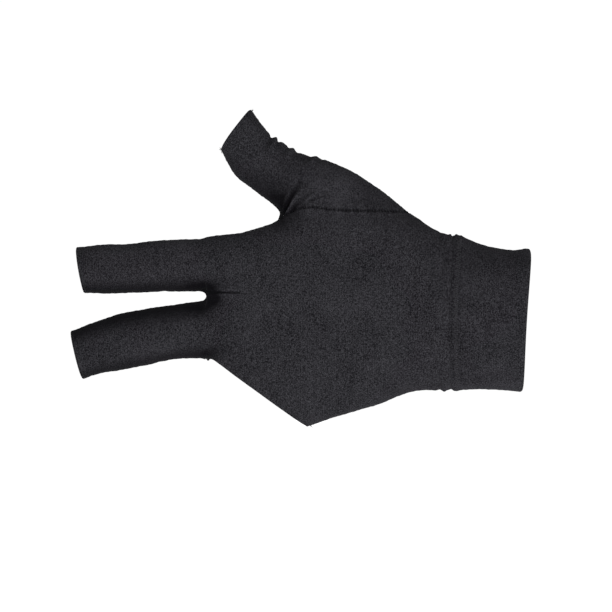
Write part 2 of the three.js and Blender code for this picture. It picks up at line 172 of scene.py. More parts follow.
@dataclass
class Limb:
    """A tube of cloth around an axis in the plane of the hand.

    LEAST_SHARE and LEAST_REACH keep the distances finite near the tube's middle.

    Attributes:
        root: Where the axis starts.
        angle: The axis in degrees from -X towards the thumb's side.
        sections: Cross-sections from the wrist's end to past the tip.
        upright: Whether half widths are measured square to the axis, not to the bent centreline.
        end_round: How far the flat ends are rounded into the tube.
    """

    LEAST_SHARE = 1e-6
    LEAST_REACH = 0.05

    root: Array
    angle: float
    sections: Sequence[Section]
    upright: bool = False
    end_round: float = 2.0 * MM

    def __post_init__(self) -> None:
        """Fits smooth curves through the sections."""
        self.forward = facing(self.angle)
        self.sideways = facing(self.angle + 90)
        along = [section.along for section in self.sections]
        self.start, self.end = min(along), max(along)
        self.profile = Profile(along, [section[1:] for section in self.sections])
        if not self.upright:
            lean = np.gradient(self.profile.columns[0], self.profile.places)
            self.profile.columns[2] *= np.hypot(1, lean)

    def place(self, x: Array, z: Array) -> tuple[Array, Array]:
        """Gives how far along the axis and how far to its side each point lies."""
        along = (x - self.root[0]) * self.forward[0] + (z - self.root[2]) * self.forward[2]
        across = (x - self.root[0]) * self.sideways[0] + (z - self.root[2]) * self.sideways[2]
        return along, across

    def share_across(self, points: Array) -> tuple[Array, Array]:
        """Gives each point's place along the axis, and across it as a share of the half width."""
        along, across = self.place(points[:, 0], points[:, 2])
        centre, _, half, *_ = self.profile.at(along)
        return along, (across - centre) / half

    def middle(self, points: Array) -> Array:
        """Gives how far each point lies on the palm's side of the limb's own middle."""
        along, _ = self.place(points[:, 0], points[:, 2])
        return points[:, 1] - self.profile.at(along)[1]

    def distance(self, x: Array, y: Array, z: Array) -> Array:
        """Measures how far outside the limb each point lies.

        Args:
            x: Places along X. The three arrays only have to fit each other's shape.
            y: Places along Y.
            z: Places along Z.

        Returns:
            Distances, negative inside.
        """
        along, across = self.place(x, z)
        centre, rise, half, back, palm, square = self.profile.at(along)
        lift = y - rise
        depth = np.where(lift > 0, palm, back)
        wide = np.maximum(np.abs(across - centre) / half, self.LEAST_SHARE)
        deep = np.maximum(np.abs(lift) / depth, self.LEAST_SHARE)
        reach = np.maximum((wide**square + deep**square) ** (1 / square), self.LEAST_REACH)
        across_slope = wide ** (square - 1) / half
        slope = reach ** (1 - square) * np.hypot(across_slope, deep ** (square - 1) / depth)
        ends = np.maximum(self.start - along, along - self.end)
        return -blend((1 - reach) / slope, -ends + 0 * y, self.end_round)


class HandRow(NamedTuple):
    """A section of the cuff or the hand, in shares of their named sizes."""

    along: float
    thumb_side: float
    little_side: float
    back: float
    palm: float
    square: float


class FingerRow(NamedTuple):
    """A section of a finger stall, in shares of its named sizes."""

    along: float
    lean: float
    half: float
    depth: float


class ThumbRow(NamedTuple):
    """A section of the thumb, in shares of its named sizes."""

    along: float
    bow: float
    half: float
    back: float
    palm: float
    drop: float


CUFF_ROWS = (
    HandRow(-0.18, 0.475, 0.500, 0.480, 0.500, 2.2),
    HandRow(0.02, 0.492, 0.510, 0.488, 0.512, 2.2),
    HandRow(0.10, 0.482, 0.502, 0.480, 0.500, 2.2),
    HandRow(0.32, 0.488, 0.492, 0.475, 0.495, 2.2),
    HandRow(0.58, 0.522, 0.485, 0.470, 0.490, 2.2),
    HandRow(0.82, 0.572, 0.489, 0.465, 0.490, 2.2),
)
HAND_ROWS = (
    HandRow(0.020, 0.411, 0.342, 0.630, 0.665, 2.2),
    HandRow(0.150, 0.455, 0.350, 0.580, 0.650, 2.4),
    HandRow(0.280, 0.500, 0.408, 0.530, 0.630, 2.6),
    HandRow(0.450, 0.512, 0.462, 0.485, 0.600, 2.8),
    HandRow(0.570, 0.502, 0.510, 0.465, 0.565, 2.8),
    HandRow(0.690, 0.483, 0.530, 0.455, 0.530, 2.8),
    HandRow(0.780, 0.447, 0.515, 0.442, 0.500, 2.8),
    HandRow(0.860, 0.418, 0.470, 0.426, 0.458, 2.7),
    HandRow(0.945, 0.399, 0.350, 0.394, 0.406, 2.6),
    HandRow(1.000, 0.390, 0.191, 0.320, 0.320, 2.5),
)
INDEX_ROWS = (
    FingerRow(-0.30, 0.004, 0.470, 0.490),
    FingerRow(0.00, 0.000, 0.500, 0.500),
    FingerRow(0.21, -0.004, 0.490, 0.500),
    FingerRow(0.44, -0.011, 0.490, 0.490),
    FingerRow(0.68, -0.025, 0.466, 0.465),
    FingerRow(0.83, -0.031, 0.460, 0.450),
    FingerRow(1.00, -0.040, 0.445, 0.430),
    FingerRow(1.14, -0.047, 0.430, 0.410),
)
MIDDLE_ROWS = (
    FingerRow(-0.30, 0.010, 0.460, 0.490),
    FingerRow(0.00, 0.000, 0.500, 0.500),
    FingerRow(0.20, -0.014, 0.480, 0.500),
    FingerRow(0.43, -0.051, 0.482, 0.490),
    FingerRow(0.66, -0.095, 0.472, 0.465),
    FingerRow(0.81, -0.132, 0.455, 0.450),
    FingerRow(1.00, -0.195, 0.430, 0.430),
    FingerRow(1.14, -0.245, 0.410, 0.410),
)
THUMB_ROWS = (
    ThumbRow(0.00, 0.000, 0.500, 0.440, 0.600, 0.10),
    ThumbRow(0.18, -0.036, 0.675, 0.500, 0.740, 0.25),
    ThumbRow(0.37, -0.048, 0.760, 0.570, 0.860, 0.45),
    ThumbRow(0.50, -0.045, 0.730, 0.580, 0.800, 0.65),
    ThumbRow(0.60, -0.045, 0.655, 0.550, 0.680, 0.80),
    ThumbRow(0.72, -0.050, 0.520, 0.480, 0.520, 0.95),
    ThumbRow(0.80, -0.051, 0.500, 0.450, 0.470, 1.00),
    ThumbRow(0.87, -0.051, 0.487, 0.430, 0.450, 1.00),
    ThumbRow(0.93, -0.033, 0.457, 0.410, 0.420, 0.95),
    ThumbRow(1.00, 0.000, 0.405, 0.385, 0.390, 0.85),
    ThumbRow(1.07, 0.040, 0.380, 0.370, 0.370, 0.75),
)
THUMB_SEAM_ROWS = (
    (1.200, 0.620),
    (0.760, 0.505),
    (0.703, 0.490),
    (0.674, 0.501),
    (0.642, 0.526),
    (0.606, 0.537),
    (0.563, 0.541),
    (0.520, 0.534),
    (0.400, 0.525),
    (0.154, 0.523),
    (-0.200, 0.523),
)


@dataclass(frozen=True)
class OpenEdge:
    """A plane that ends the cloth.

    Attributes:
        direction: The way the opening faces.
    """

    point: Array
    direction: Array

    def beyond(self, points: Array) -> Array:
        """Gives how far past the edge each point lies."""
        return (points - self.point) @ self.direction


@dataclass
class WornShape:
    """The glove's outer surface as it is worn, before it is cut, with its seams and open edges.

    The ball of the thumb and the web in its crotch come up between two places along X each. The
    outline's span is measured from its own level along Y.
    """

    cuff_length: float = 34.0 * MM
    cuff_width: float = 61.0 * MM
    cuff_depth: float = 42.0 * MM
    cuff_end_tilt: float = 3.5
    wrist_seam_bow: float = 2.2 * MM
    hand_length: float = 103.2 * MM
    hand_width: float = 89.0 * MM
    hand_depth: float = 31.0 * MM
    index_length: float = 55.3 * MM
    index_width: float = 22.6 * MM
    index_depth: float = 19.6 * MM
    index_tip_angle: float = -9.0
    index_root: float = 0.262
    middle_length: float = 56.8 * MM
    middle_width: float = 24.4 * MM
    middle_depth: float = 20.4 * MM
    middle_tip_angle: float = -14.6
    middle_root: float = -0.048
    finger_square: float = 2.1
    finger_drop: float = 5.0 * MM
    bend_start: float = 0.9
    thumb_length: float = 102.0 * MM
    thumb_width: float = 24.0 * MM
    thumb_depth: float = 22.0 * MM
    thumb_angle: float = 34.6
    thumb_tip_turn: float = 3.6
    thumb_drop: float = 8.0 * MM
    thumb_root: tuple[float, float] = (0.07, 0.277)
    thumb_square: float = 2.1
    knuckle_start: tuple[float, float] = (0.975, -0.190)
    knuckle_end: tuple[float, float] = (0.597, -0.511)
    cuff_end_bow: float = 1.5 * MM
    knuckle_corner: float = 6.0 * MM
    knuckle_clear: float = 1.6 * MM
    finger_fillet: float = 3.4 * MM
    side_fillet: float = 3.0 * MM
    web_fillet: float = 7.5 * MM
    ball_fillet: float = 11.0 * MM
    ball_places: tuple[float, float] = (-103.0 * MM, -76.0 * MM)
    web_places: tuple[float, float] = (-80.0 * MM, -98.0 * MM)
    outline_level: float = 1.5 * MM
    outline_span: tuple[float, float] = (3.0 * MM, 11.0 * MM)
    probe: float = 0.04 * MM
    least_slope: float = 0.05
    longest_step: float = 1.5 * MM

    def __post_init__(self) -> None:
        """Builds the four limbs, the seams and the open edges."""
        self.body = self._body()
        self.index = self._finger(
            INDEX_ROWS, self.index_root, self.index_length, self.index_width, self.index_depth
        )
        self.middle = self._finger(
            MIDDLE_ROWS, self.middle_root, self.middle_length, self.middle_width, self.middle_depth
        )
        self.thumb = self._thumb()
        seam = [self.in_plane(*row) for row in THUMB_SEAM_ROWS]
        self.thumb_seam_path = Profile([point[0] for point in seam], [[point[2]] for point in seam])
        start, end = self.in_plane(*self.knuckle_start), self.in_plane(*self.knuckle_end)
        run = unit(end - start)
        self.knuckle_edge = OpenEdge(start, np.array((run[2], 0.0, -run[0])))
        self.cuff_end = OpenEdge(np.zeros(3), facing(180 + self.cuff_end_tilt))
        self.index_tip = self._finger_tip(
            INDEX_ROWS, self.index_root, self.index_length, self.index_tip_angle
        )
        self.middle_tip = self._finger_tip(
            MIDDLE_ROWS, self.middle_root, self.middle_length, self.middle_tip_angle
        )
        thumb_end = self.in_plane(*self.thumb_root) + facing(self.thumb_angle) * self.thumb_length
        self.thumb_tip = OpenEdge(thumb_end, facing(self.thumb_angle + self.thumb_tip_turn))

    def in_plane(self, along: float, height: float) -> Array:
        """Gives a point in the plane of the hand.

        Args:
            along: Share of the hand's length from the wrist seam.
            height: Share of the hand's width above the forearm's axis.

        Returns:
            The point in metres.
        """
        x = -self.cuff_length - along * self.hand_length
        return np.array((x, 0.0, height * self.hand_width))

    def bend(self, x: Array | float) -> Array:
        """Gives how far the middle of the cloth lies towards the palm, because the fingers bend."""
        start = -self.cuff_length - self.bend_start * self.hand_length
        past = np.maximum(0, start - x) / max(self.index_length, self.middle_length)
        return self.finger_drop * np.minimum(past * past, past)

    def _body(self) -> Limb:
        """Builds the forearm's end and the hand."""

        def section(row: HandRow, along: float, width: float, depth: float) -> Section:
            """Turns one row of a table into a section in metres."""
            centre = (row.thumb_side - row.little_side) / 2 * width
            half = (row.thumb_side + row.little_side) / 2 * width
            rise = float(self.bend(-along))
            back, palm = row.back * depth, row.palm * depth
            return Section(along, centre, rise, half, back, palm, row.square)

        cuff = [
            section(row, row.along * self.cuff_length, self.cuff_width, self.cuff_depth)
            for row in CUFF_ROWS
        ]
        hand = [
            section(
                row,
                self.cuff_length + row.along * self.hand_length,
                self.hand_width,
                self.hand_depth,
            )
            for row in HAND_ROWS
        ]
        return Limb(np.zeros(3), 0.0, cuff + hand, upright=True)

    def _finger(
        self, rows: Sequence[FingerRow], root: float, length: float, width: float, depth: float
    ) -> Limb:
        """Builds one finger stall.

        Args:
            rows: Its sections.
            root: Height of its axis at the crotch, as a share of the hand's width.
            length: From the crotch to the open tip.
            width: At the crotch.
            depth: At the crotch.

        Returns:
            The stall, with its axis starting at the crotch.
        """
        origin = self.in_plane(1.0, root)
        sections = []
        for row in rows:
            along, across = row.along * length, row.lean * length
            rise = float(self.bend(origin[0] - along))
            half, deep = row.half * width, row.depth * depth
            sections.append(Section(along, across, rise, half, deep, deep, self.finger_square))
        return Limb(origin, 0.0, sections)

    def _thumb(self) -> Limb:
        """Builds the thumb with the ball of the thumb."""
        sections = [
            Section(
                row.along * self.thumb_length,
                row.bow * self.thumb_length,
                row.drop * self.thumb_drop,
                row.half * self.thumb_width,
                row.back * self.thumb_depth,
                row.palm * self.thumb_depth,
                self.thumb_square,
            )
            for row in THUMB_ROWS
        ]
        return Limb(self.in_plane(*self.thumb_root), self.thumb_angle, sections)

    def _finger_tip(
        self, rows: Sequence[FingerRow], root: float, length: float, angle: float
    ) -> OpenEdge:
        """Gives the open tip of a finger stall."""
        lean = next(row.lean for row in rows if row.along == 1.0)
        point = self.in_plane(1.0, root) + np.array((-length, 0.0, lean * length))
        return OpenEdge(point, facing(angle))

    def thumb_fillet(self, x: Array, y: Array) -> Array:
        """Gives the fillet of hand and thumb, wide over the ball of the thumb and in the crotch."""
        back_from_crotch = ramp(x, *self.ball_places)
        in_crotch = ramp(x, *self.web_places)
        off_the_outline = ramp(np.abs(y - self.outline_level), *self.outline_span)
        side = self.side_fillet + (self.web_fillet - self.side_fillet) * in_crotch
        return side + (self.ball_fillet - side) * back_from_crotch * off_the_outline

    def past_knuckle(self, x: Array, z: Array, off_middle: Array) -> Array:
        """Gives how far past the knuckle edge each point lies, rounded off at the middle stall.

        Args:
            x: Places along X.
            z: Places along Z.
            off_middle: How far outside the middle stall each point lies.

        Returns:
            Distances, negative on the hand.
        """
        edge = self.knuckle_edge
        past = (x - edge.point[0]) * edge.direction[0] + (z - edge.point[2]) * edge.direction[2]
        return blend(past, off_middle - self.knuckle_clear, self.knuckle_corner)

    def field(self, x: Array, y: Array, z: Array) -> Array:
        """Measures how far outside the worn glove each point lies, negative inside."""
        middle = self.middle.distance(x, y, z)
        hand = np.maximum(self.body.distance(x, y, z), self.past_knuckle(x, z, middle))
        with_index = blend(hand, self.index.distance(x, y, z), self.finger_fillet)
        with_both = blend(with_index, middle, self.finger_fillet)
        return blend(with_both, self.thumb.distance(x, y, z), self.thumb_fillet(x, y))

    def distance(self, points: Array) -> Array:
        """Measures how far outside the worn glove each row of points lies."""
        return self.field(points[:, 0], points[:, 1], points[:, 2])

    def gradient(self, points: Array) -> Array:
        """Gives the way out of the surface at each point, not of length one."""
        slopes = []
        for axis in np.eye(3) * self.probe:
            rise = self.distance(points + axis) - self.distance(points - axis)
            slopes.append(rise / (2 * self.probe))
        return np.stack(slopes, axis=1)

    def normals(self, points: Array) -> Array:
        """Gives the outward normal at each point."""
        return unit(self.gradient(points))

    def settle(self, points: Array, rounds: int = 2) -> Array:
        """Moves points square onto the surface."""
        for _ in range(rounds):
            slope = self.gradient(points)
            size = np.maximum((slope * slope).sum(axis=1), self.least_slope)
            step = np.clip(self.distance(points) / size, -self.longest_step, self.longest_step)
            points = points - slope * step[:, None]
        return points

    def wrist_seam(self, points: Array) -> Array:
        """Gives how far on the cuff's side of the wrist seam each point lies."""
        share = points[:, 2] / (self.cuff_width / 2)
        return points[:, 0] + self.cuff_length - self.wrist_seam_bow * share * share

    def past_cuff_end(self, points: Array) -> Array:
        """Gives how far past the cuff's open end, hollow in its middle, each point lies."""
        share = points[:, 2] / (self.cuff_width / 2)
        return self.cuff_end.beyond(points) + self.cuff_end_bow * np.maximum(1 - share * share, 0)

    def thumb_seam(self, points: Array) -> Array:
        """Gives how far on the thumb's side of the thumb seam each point lies."""
        return points[:, 2] - self.thumb_seam_path.at(points[:, 0])[0]

    def side_seam(self, points: Array) -> Array:
        """Gives how far on the palm's side of the side seam each point lies."""
        return points[:, 1] - self.bend(points[:, 0])

    def limb_distance(self, limb: Limb, points: Array) -> Array:
        """Measures how far outside one limb each row of points lies."""
        return limb.distance(points[:, 0], points[:, 1], points[:, 2])


@dataclass
class Skin:
    """A surface of triangles.

    Attributes:
        points: One row for each vertex.
        faces: Three vertex numbers for each triangle, counter-clockwise from outside.
    """

    points: Array
    faces: Array

    def compact(self) -> "Skin":
        """Drops the vertices that no triangle uses."""
        used, numbered = np.unique(self.faces, return_inverse=True)
        return Skin(self.points[used], numbered.reshape(self.faces.shape))

    def directed_edges(self) -> Array:
        """Lists the three edges of every triangle, in its own turning direction."""
        return self.faces[:, [[0, 1], [1, 2], [2, 0]]].reshape(-1, 2)

    def edges(self) -> Array:
        """Lists each edge once, its lower vertex number first."""
        pairs = np.sort(self.directed_edges(), axis=1)
        keys = np.unique(pairs[:, 0] * len(self.points) + pairs[:, 1])
        return np.stack((keys // len(self.points), keys % len(self.points)), axis=1)

    def rim_edges(self) -> Array:
        """Lists the edges that only one triangle has, in that triangle's direction."""
        pairs = self.directed_edges()
        count = len(self.points)
        forward = pairs[:, 0] * count + pairs[:, 1]
        backward = pairs[:, 1] * count + pairs[:, 0]
        return pairs[~np.isin(forward, backward)]

    def rim_loops(self) -> list[Array]:
        """Strings the rim's vertices into loops, the longest first."""
        following = {int(first): int(second) for first, second in self.rim_edges()}
        loops = []
        while following:
            start = min(following)
            loop = [start]
            here = following.pop(start)
            while here != start and here in following:
                loop.append(here)
                here = following.pop(here)
            loops.append(np.array(loop))
        return sorted(loops, key=len, reverse=True)

    def relaxed(self, settle: Callable[[Array], Array], rounds: int) -> "Skin":
        """Evens out the triangles.

        Args:
            settle: Moves points back onto the true surface.
            rounds: How often every vertex moves halfway to the middle of its neighbours.

        Returns:
            The same triangles with better shapes.
        """
        first, second = self.edges().T
        count = len(self.points)
        shared = np.bincount(first, minlength=count) + np.bincount(second, minlength=count)
        shared = np.maximum(shared, 1)
        points = self.points
        for _ in range(rounds):
            total = np.empty_like(points)
            for axis in range(3):
                total[:, axis] = np.bincount(first, points[second, axis], count)
                total[:, axis] += np.bincount(second, points[first, axis], count)
            points = settle((points + total / shared[:, None]) / 2)
        return Skin(points, self.faces)

    def refined(self, fine: Array, settle: Callable[[Array], Array]) -> "Skin":
        """Halves the edges between marked vertices.

        Args:
            fine: Whether each vertex is marked.
            settle: Moves the new vertices onto the true surface.

        Returns:
            The surface with smaller triangles there.
        """
        count = len(self.points)
        edges = self.edges()
        edges = edges[fine[edges].all(axis=1)]
        keys = edges[:, 0] * count + edges[:, 1]
        middles = settle(self.points[edges].mean(axis=1))
        sides = np.sort(self.directed_edges().reshape(-1, 3, 2), axis=2)
        sides = sides[:, :, 0] * count + sides[:, :, 1]
        found = np.minimum(np.searchsorted(keys, sides), len(keys) - 1)
        middle = np.where(keys[found] == sides, found + count, -1)
        halved = (middle >= 0).sum(axis=1)
        faces = [self.faces[halved == 0]]
        a, b, c = self.faces[halved == 3].T
        ab, bc, ca = middle[halved == 3].T
        for corners in ((a, ab, ca), (ab, b, bc), (ca, bc, c), (ab, bc, ca)):
            faces.append(np.stack(corners, axis=1))
        for side in range(3):
            chosen = (halved == 1) & (middle[:, side] >= 0)
            a, b, c = np.roll(self.faces[chosen], -side, axis=1).T
            between = middle[chosen, side]
            faces += [np.stack((a, between, c), axis=1), np.stack((between, b, c), axis=1)]
        return Skin(np.vstack((self.points, middles)), np.vstack(faces))

    def split(self, value: Array, snap: float = 0.25) -> tuple["Skin", "Skin"]:
        """Cuts the surface where a value that belongs to each vertex is zero.

        Args:
            value: The value at each vertex.
            snap: The share of an edge within which its vertex moves onto the cut.

        Returns:
            The part where the value is negative, and the part where it is positive.
        """
        points, value = self.points.copy(), value.copy()
        first, second = self.edges().T
        crossing = value[first] * value[second] < 0
        first, second = first[crossing], second[crossing]
        share = value[first] / (value[first] - value[second])
        nearer = np.where(share < 0.5, first, second)
        farther = np.where(share < 0.5, second, first)
        gap = np.minimum(share, 1 - share)
        order = np.argsort(-gap, kind="stable")
        order = order[gap[order] < snap]
        near, far, part = nearer[order], farther[order], gap[order]
        points[near] = self.points[near] + part[:, None] * (self.points[far] - self.points[near])
        value[near] = 0.0
        sign = np.sign(value).astype(int)
        mixed = (sign[self.faces].min(axis=1) < 0) & (sign[self.faces].max(axis=1) > 0)
        added: list[Array] = []
        numbers: dict[tuple[int, int], int] = {}
        parts: dict[int, list[tuple[int, int, int]]] = {-1: [], 1: []}
        for face in self.faces[mixed]:
            ring: list[tuple[int, int]] = []
            for a, b in zip(face, np.roll(face, -1)):
                ring.append((int(a), int(sign[a])))
                if sign[a] * sign[b] < 0:
                    key = (int(min(a, b)), int(max(a, b)))
                    if key not in numbers:
                        low, high = key
                        t = value[low] / (value[low] - value[high])
                        added.append(points[low] + t * (points[high] - points[low]))
                        numbers[key] = len(points) + len(added) - 1
                    ring.append((numbers[key], 0))
            for side, triangles in parts.items():
                loop = [number for number, its_sign in ring if its_sign in (0, side)]
                triangles.extend((loop[0], loop[i], loop[i + 1]) for i in range(1, len(loop) - 1))
        if added:
            points = np.vstack((points, added))
        whole = self.faces[~mixed]
        below = sign[whole].min(axis=1) < 0
        above = sign[whole].max(axis=1) > 0
        cut = []
        for side, chosen in ((-1, below), (1, above)):
            extra = np.array(parts[side], dtype=self.faces.dtype).reshape(-1, 3)
            cut.append(Skin(points, np.vstack((whole[chosen], extra))).compact())
        return cut[0], cut[1]

    def spread(self, values: Array, rim_steps: int) -> Array:
        """Copies each vertex's value to all the vertices that a thickness makes of it."""
        rim = np.unique(self.rim_edges())
        return np.concatenate((values, values, *[values[rim]] * (rim_steps - 1)))

    def thickened(self, normals: Array, wall: Array | float, rim_steps: int) -> "Skin":
        """Gives the surface a thickness, towards its inside.

        Args:
            normals: The outward normal at each vertex.
            wall: The thickness.
            rim_steps: Strips across the rim. One leaves it flat, more round it off.

        Returns:
            A closed surface, the outer vertices first.
        """
        count = len(self.points)
        wall = np.broadcast_to(wall, count)[:, None]
        inner = self.points - normals * wall
        rim = self.rim_edges()
        run = self.points[rim[:, 1]] - self.points[rim[:, 0]]
        away = np.zeros_like(self.points)
        for axis in range(3):
            away[:, axis] = np.bincount(rim[:, 0], run[:, axis], count)
            away[:, axis] += np.bincount(rim[:, 1], run[:, axis], count)
        on_rim = np.unique(rim)
        away = unit(np.cross(away[on_rim], normals[on_rim]))
        half = wall[on_rim] / 2
        middle = self.points[on_rim] - normals[on_rim] * half
        place = np.zeros(count, dtype=int)
        place[on_rim] = np.arange(len(on_rim))
        layers = [rim]
        points = [self.points, inner]
        for step in range(1, rim_steps):
            turn = math.pi * step / rim_steps
            offset = math.cos(turn) * normals[on_rim] + math.sin(turn) * away
            points.append(middle + offset * half)
            layers.append(place[rim] + 2 * count + (step - 1) * len(on_rim))
        layers.append(rim + count)
        faces = [self.faces, self.faces[:, ::-1] + count]
        for upper, lower in zip(layers, layers[1:]):
            faces.append(np.stack((upper[:, 1], upper[:, 0], lower[:, 0]), axis=1))
            faces.append(np.stack((upper[:, 1], lower[:, 0], lower[:, 1]), axis=1))
        return Skin(np.vstack(points), np.vstack(faces))


def mesh_surface(shape: WornShape, cell: float, margin: float) -> Skin:
    """Turns the worn shape into triangles.

    Args:
        shape: The shape.
        cell: The size of a triangle's side.
        margin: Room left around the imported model's box.

    Returns:
        The closed surface, with its openings still covered.
    """
    low = np.array(CAD_BOX[0]) - margin
    high = np.array(CAD_BOX[1]) + margin
    x, y, z = (np.arange(low[i], high[i], cell) for i in range(3))
    values = shape.field(x[:, None, None], y[None, :, None], z[None, None, :])
    grid = openvdb.FloatGrid()
    grid.copyFromArray(np.ascontiguousarray(values, dtype=np.float32))
    points, quads = grid.convertToQuads(isovalue=0.0)
    quads = quads.astype(np.int64)
    faces = np.vstack((quads[:, [0, 1, 2]], quads[:, [0, 2, 3]]))
    skin = Skin(low + points.astype(float) * cell, faces)
    corners = skin.points[skin.faces]
    volume = np.einsum("ij,ij->i", corners[:, 0], np.cross(corners[:, 1], corners[:, 2])).sum()
    if volume < 0:
        skin = Skin(skin.points, skin.faces[:, ::-1])
    return skin.relaxed(shape.settle, rounds=4)


class Face(Enum):
    """The face of the hand that a fold lies on."""

    BACK = -1
    PALM = 1


@dataclass(frozen=True)
class Fold:
    """A ridge in the cloth or, where its height is negative, a valley.

    Attributes:
        path: X and Z of the points that it runs through, its strong end first.
        height: How far it stands out of the cloth.
        face: The face of the hand that it lies on.
        rise: Share of its length over which it comes up.
        fade: Share of its length over which it dies away.
        spread: How much wider it is at its end, as a factor less one.
        tone: How much painted highlight a ridge of one millimetre gets, and painted shade a valley.
        FACE_SPAN: How far past the side seam it comes up.
    """

    path: tuple[tuple[float, float], ...]
    width: float
    height: float
    face: Face = Face.BACK
    rise: float = 0.1
    fade: float = 0.6
    spread: float = 0.6
    tone: float = 0.35

    FACE_SPAN = (-5.0 * MM, 1.5 * MM)

    def _along(self, flat: Array) -> tuple[Array, Array]:
        """Finds each point's place on the path, as a share of its length, and how far off it is."""
        corners = np.array(self.path)
        runs = np.diff(corners, axis=0)
        lengths = np.hypot(runs[:, 0], runs[:, 1])
        nearest, place = np.full(len(flat), np.inf), np.zeros(len(flat))
        passed = 0.0
        for number, (corner, run, length) in enumerate(zip(corners, runs, lengths)):
            low = -np.inf if number == 0 else 0.0
            high = np.inf if number == len(runs) - 1 else 1.0
            share = np.clip((flat - corner) @ run / length**2, low, high)
            away = np.linalg.norm(flat - corner - share[:, None] * run, axis=1)
            place = np.where(away < nearest, (passed + share * length) / lengths.sum(), place)
            nearest = np.minimum(nearest, away)
            passed += length
        return place, nearest

    def lift(self, points: Array, side: Array) -> Array:
        """Gives how far the fold moves each point outwards.

        Args:
            points: Points on the worn shape.
            side: How far each lies on the palm's side of the side seam.

        Returns:
            Distances along the outward normal.
        """
        share, away = self._along(points[:, [0, 2]])
        width = self.width * (1 + self.spread * np.clip(share, 0, 1))
        strength = ramp(share, -self.rise, self.rise) * ramp(share, 1.0, 1.0 - self.fade)
        on_face = ramp(side * self.face.value, *self.FACE_SPAN)
        return self.height * strength * on_face * hill(away, width)


@dataclass(frozen=True)
class SeamLine:
    """A sewn line: a narrow groove between two rolled edges, drawn into small puckers.

    Attributes:
        across: Gives how far from the line a point lies.
        along: Gives the place along the line.
        width: Half width of the groove.
        roll: Height of the rolled edges.
        wave: Length of a pucker.
        reach: How far the puckers run out from the line.
        mask: Gives how strongly the line shows at a point.
        tone: Painted shade for each millimetre that the groove sinks, and painted highlight for
            each that rolled edges and puckers stand out.
        stitch: Distance between the dents that the needle makes, 0 for none.
        DENT: The groove's mean share of its depth, and how much of it the dents make.
        ROLL_PLACE: Where the rolled edges stand, in half widths of the groove.
        ROLL_SPREAD: How wide they are.
        WAVES: The lengths of the waves that a pucker is made of, as factors.
    """

    across: Measure
    along: Measure
    depth: float
    width: float
    roll: float = 0.0
    pucker: float = 0.0
    wave: float = 3.5 * MM
    reach: float = 3.0 * MM
    seed: int = 1
    mask: Measure | None = None
    tone: float = 0.8
    stitch: float = 0.0

    DENT = (0.66, 0.34)
    ROLL_PLACE = 2.2
    ROLL_SPREAD = 1.2
    WAVES = (1.0, 1.43, 0.69, 2.3)

    def lift(self, points: Array, side: Array) -> Array:
        """Gives how far the seam moves each point outwards."""
        across = np.abs(self.across(points))
        near = across / self.width
        found = -self.depth * np.exp(-near * near)
        if self.stitch:
            mean, swing = self.DENT
            found *= mean + swing * np.cos(2 * math.pi * self.along(points) / self.stitch)
        found += self.roll * np.exp(-((near - self.ROLL_PLACE) ** 2) / self.ROLL_SPREAD)
        if self.pucker:
            place = self.along(points)
            draw = np.random.default_rng(self.seed)
            ripple = np.zeros(len(points))
            for stretch in self.WAVES:
                phase = draw.uniform(0, 2 * math.pi)
                ripple += np.sin(2 * math.pi * place / (self.wave * stretch) + phase)
            found += self.pucker * ripple / 2 * np.exp(-across / self.reach)
        if self.mask is not None:
            found = found * self.mask(points)
        return found


@dataclass(frozen=True)
class Unevenness:
    """Soft swells of stretched cloth that lies over a hand.

    Attributes:
        height: About how far they stand out.
        count: How many waves are added up.
        tone: How much painted highlight a swell of one millimetre gets, and painted shade a dip.
    """

    height: float
    shortest: float
    longest: float
    count: int = 14
    seed: int = 7
    tone: float = 0.0

    def lift(self, points: Array, side: Array) -> Array:
        """Gives how far the swells move each point outwards."""
        draw = np.random.default_rng(self.seed)
        found = np.zeros(len(points))
        for _ in range(self.count):
            direction = unit(draw.normal(size=3))
            length = draw.uniform(self.shortest, self.longest)
            phase = draw.uniform(0, 2 * math.pi)
            found += np.sin(points @ direction * (2 * math.pi / length) + phase)
        return found * self.height / math.sqrt(self.count)


@dataclass(frozen=True)
class PaintedSideShade:
    """Painted shade along one side of a stall, where it faces another and little light comes in.

    Attributes:
        side: 1 for the thumb's side and -1 for the little finger's side.
        start: Where it begins, as a share of the half width.
        tone: How much painted shade it gives at the very side; a positive tone gives painted light
            instead.
        comes: Places along the stall between which it comes up.
        goes: Places along the stall between which it dies away, the farther one first.
        OWN_SPAN: Shares of the half width between which cloth is no longer the stall's own.
    """

    limb: Limb
    side: int
    start: float
    tone: float
    comes: tuple[float, float]
    goes: tuple[float, float] = (400.0 * MM, 300.0 * MM)

    OWN_SPAN = (1.5, 1.2)

    def painted_light_at(self, points: Array) -> Array:
        """Gives the painted light at each point, negative where it is painted shade."""
        along, across = self.limb.share_across(points)
        own = ramp(np.abs(across), *self.OWN_SPAN)
        strength = ramp(along, *self.comes) * ramp(along, *self.goes) * own
        return self.tone * strength * ramp(self.side * across, self.start, 1.0)


@dataclass(frozen=True)
class PaintedLightSpot:
    """A soft patch of painted light, or of painted shade where its tone is negative.

    Attributes:
        size: Half its length and half its width.
        angle: Its length's direction in degrees from -X towards the thumb's side.
    """

    centre: tuple[float, float]
    size: tuple[float, float]
    angle: float
    tone: float

    def painted_light_at(self, points: Array) -> Array:
        """Gives the painted light at each point, negative where it is painted shade."""
        away = points[:, [0, 2]] - self.centre
        long = away @ facing(self.angle)[[0, 2]] / self.size[0]
        wide = away @ facing(self.angle + 90)[[0, 2]] / self.size[1]
        return self.tone * np.exp(-(long * long) - wide * wide)


def crease(
    path: Sequence[tuple[float, float]], width: float, height: float, **shape: float | Face
) -> Fold:
    """Makes a fold from sizes in millimetres. Its shares, tone and face stay as they are."""
    places = tuple((x * MM, z * MM) for x, z in path)
    return Fold(places, width * MM, height * MM, **shape)


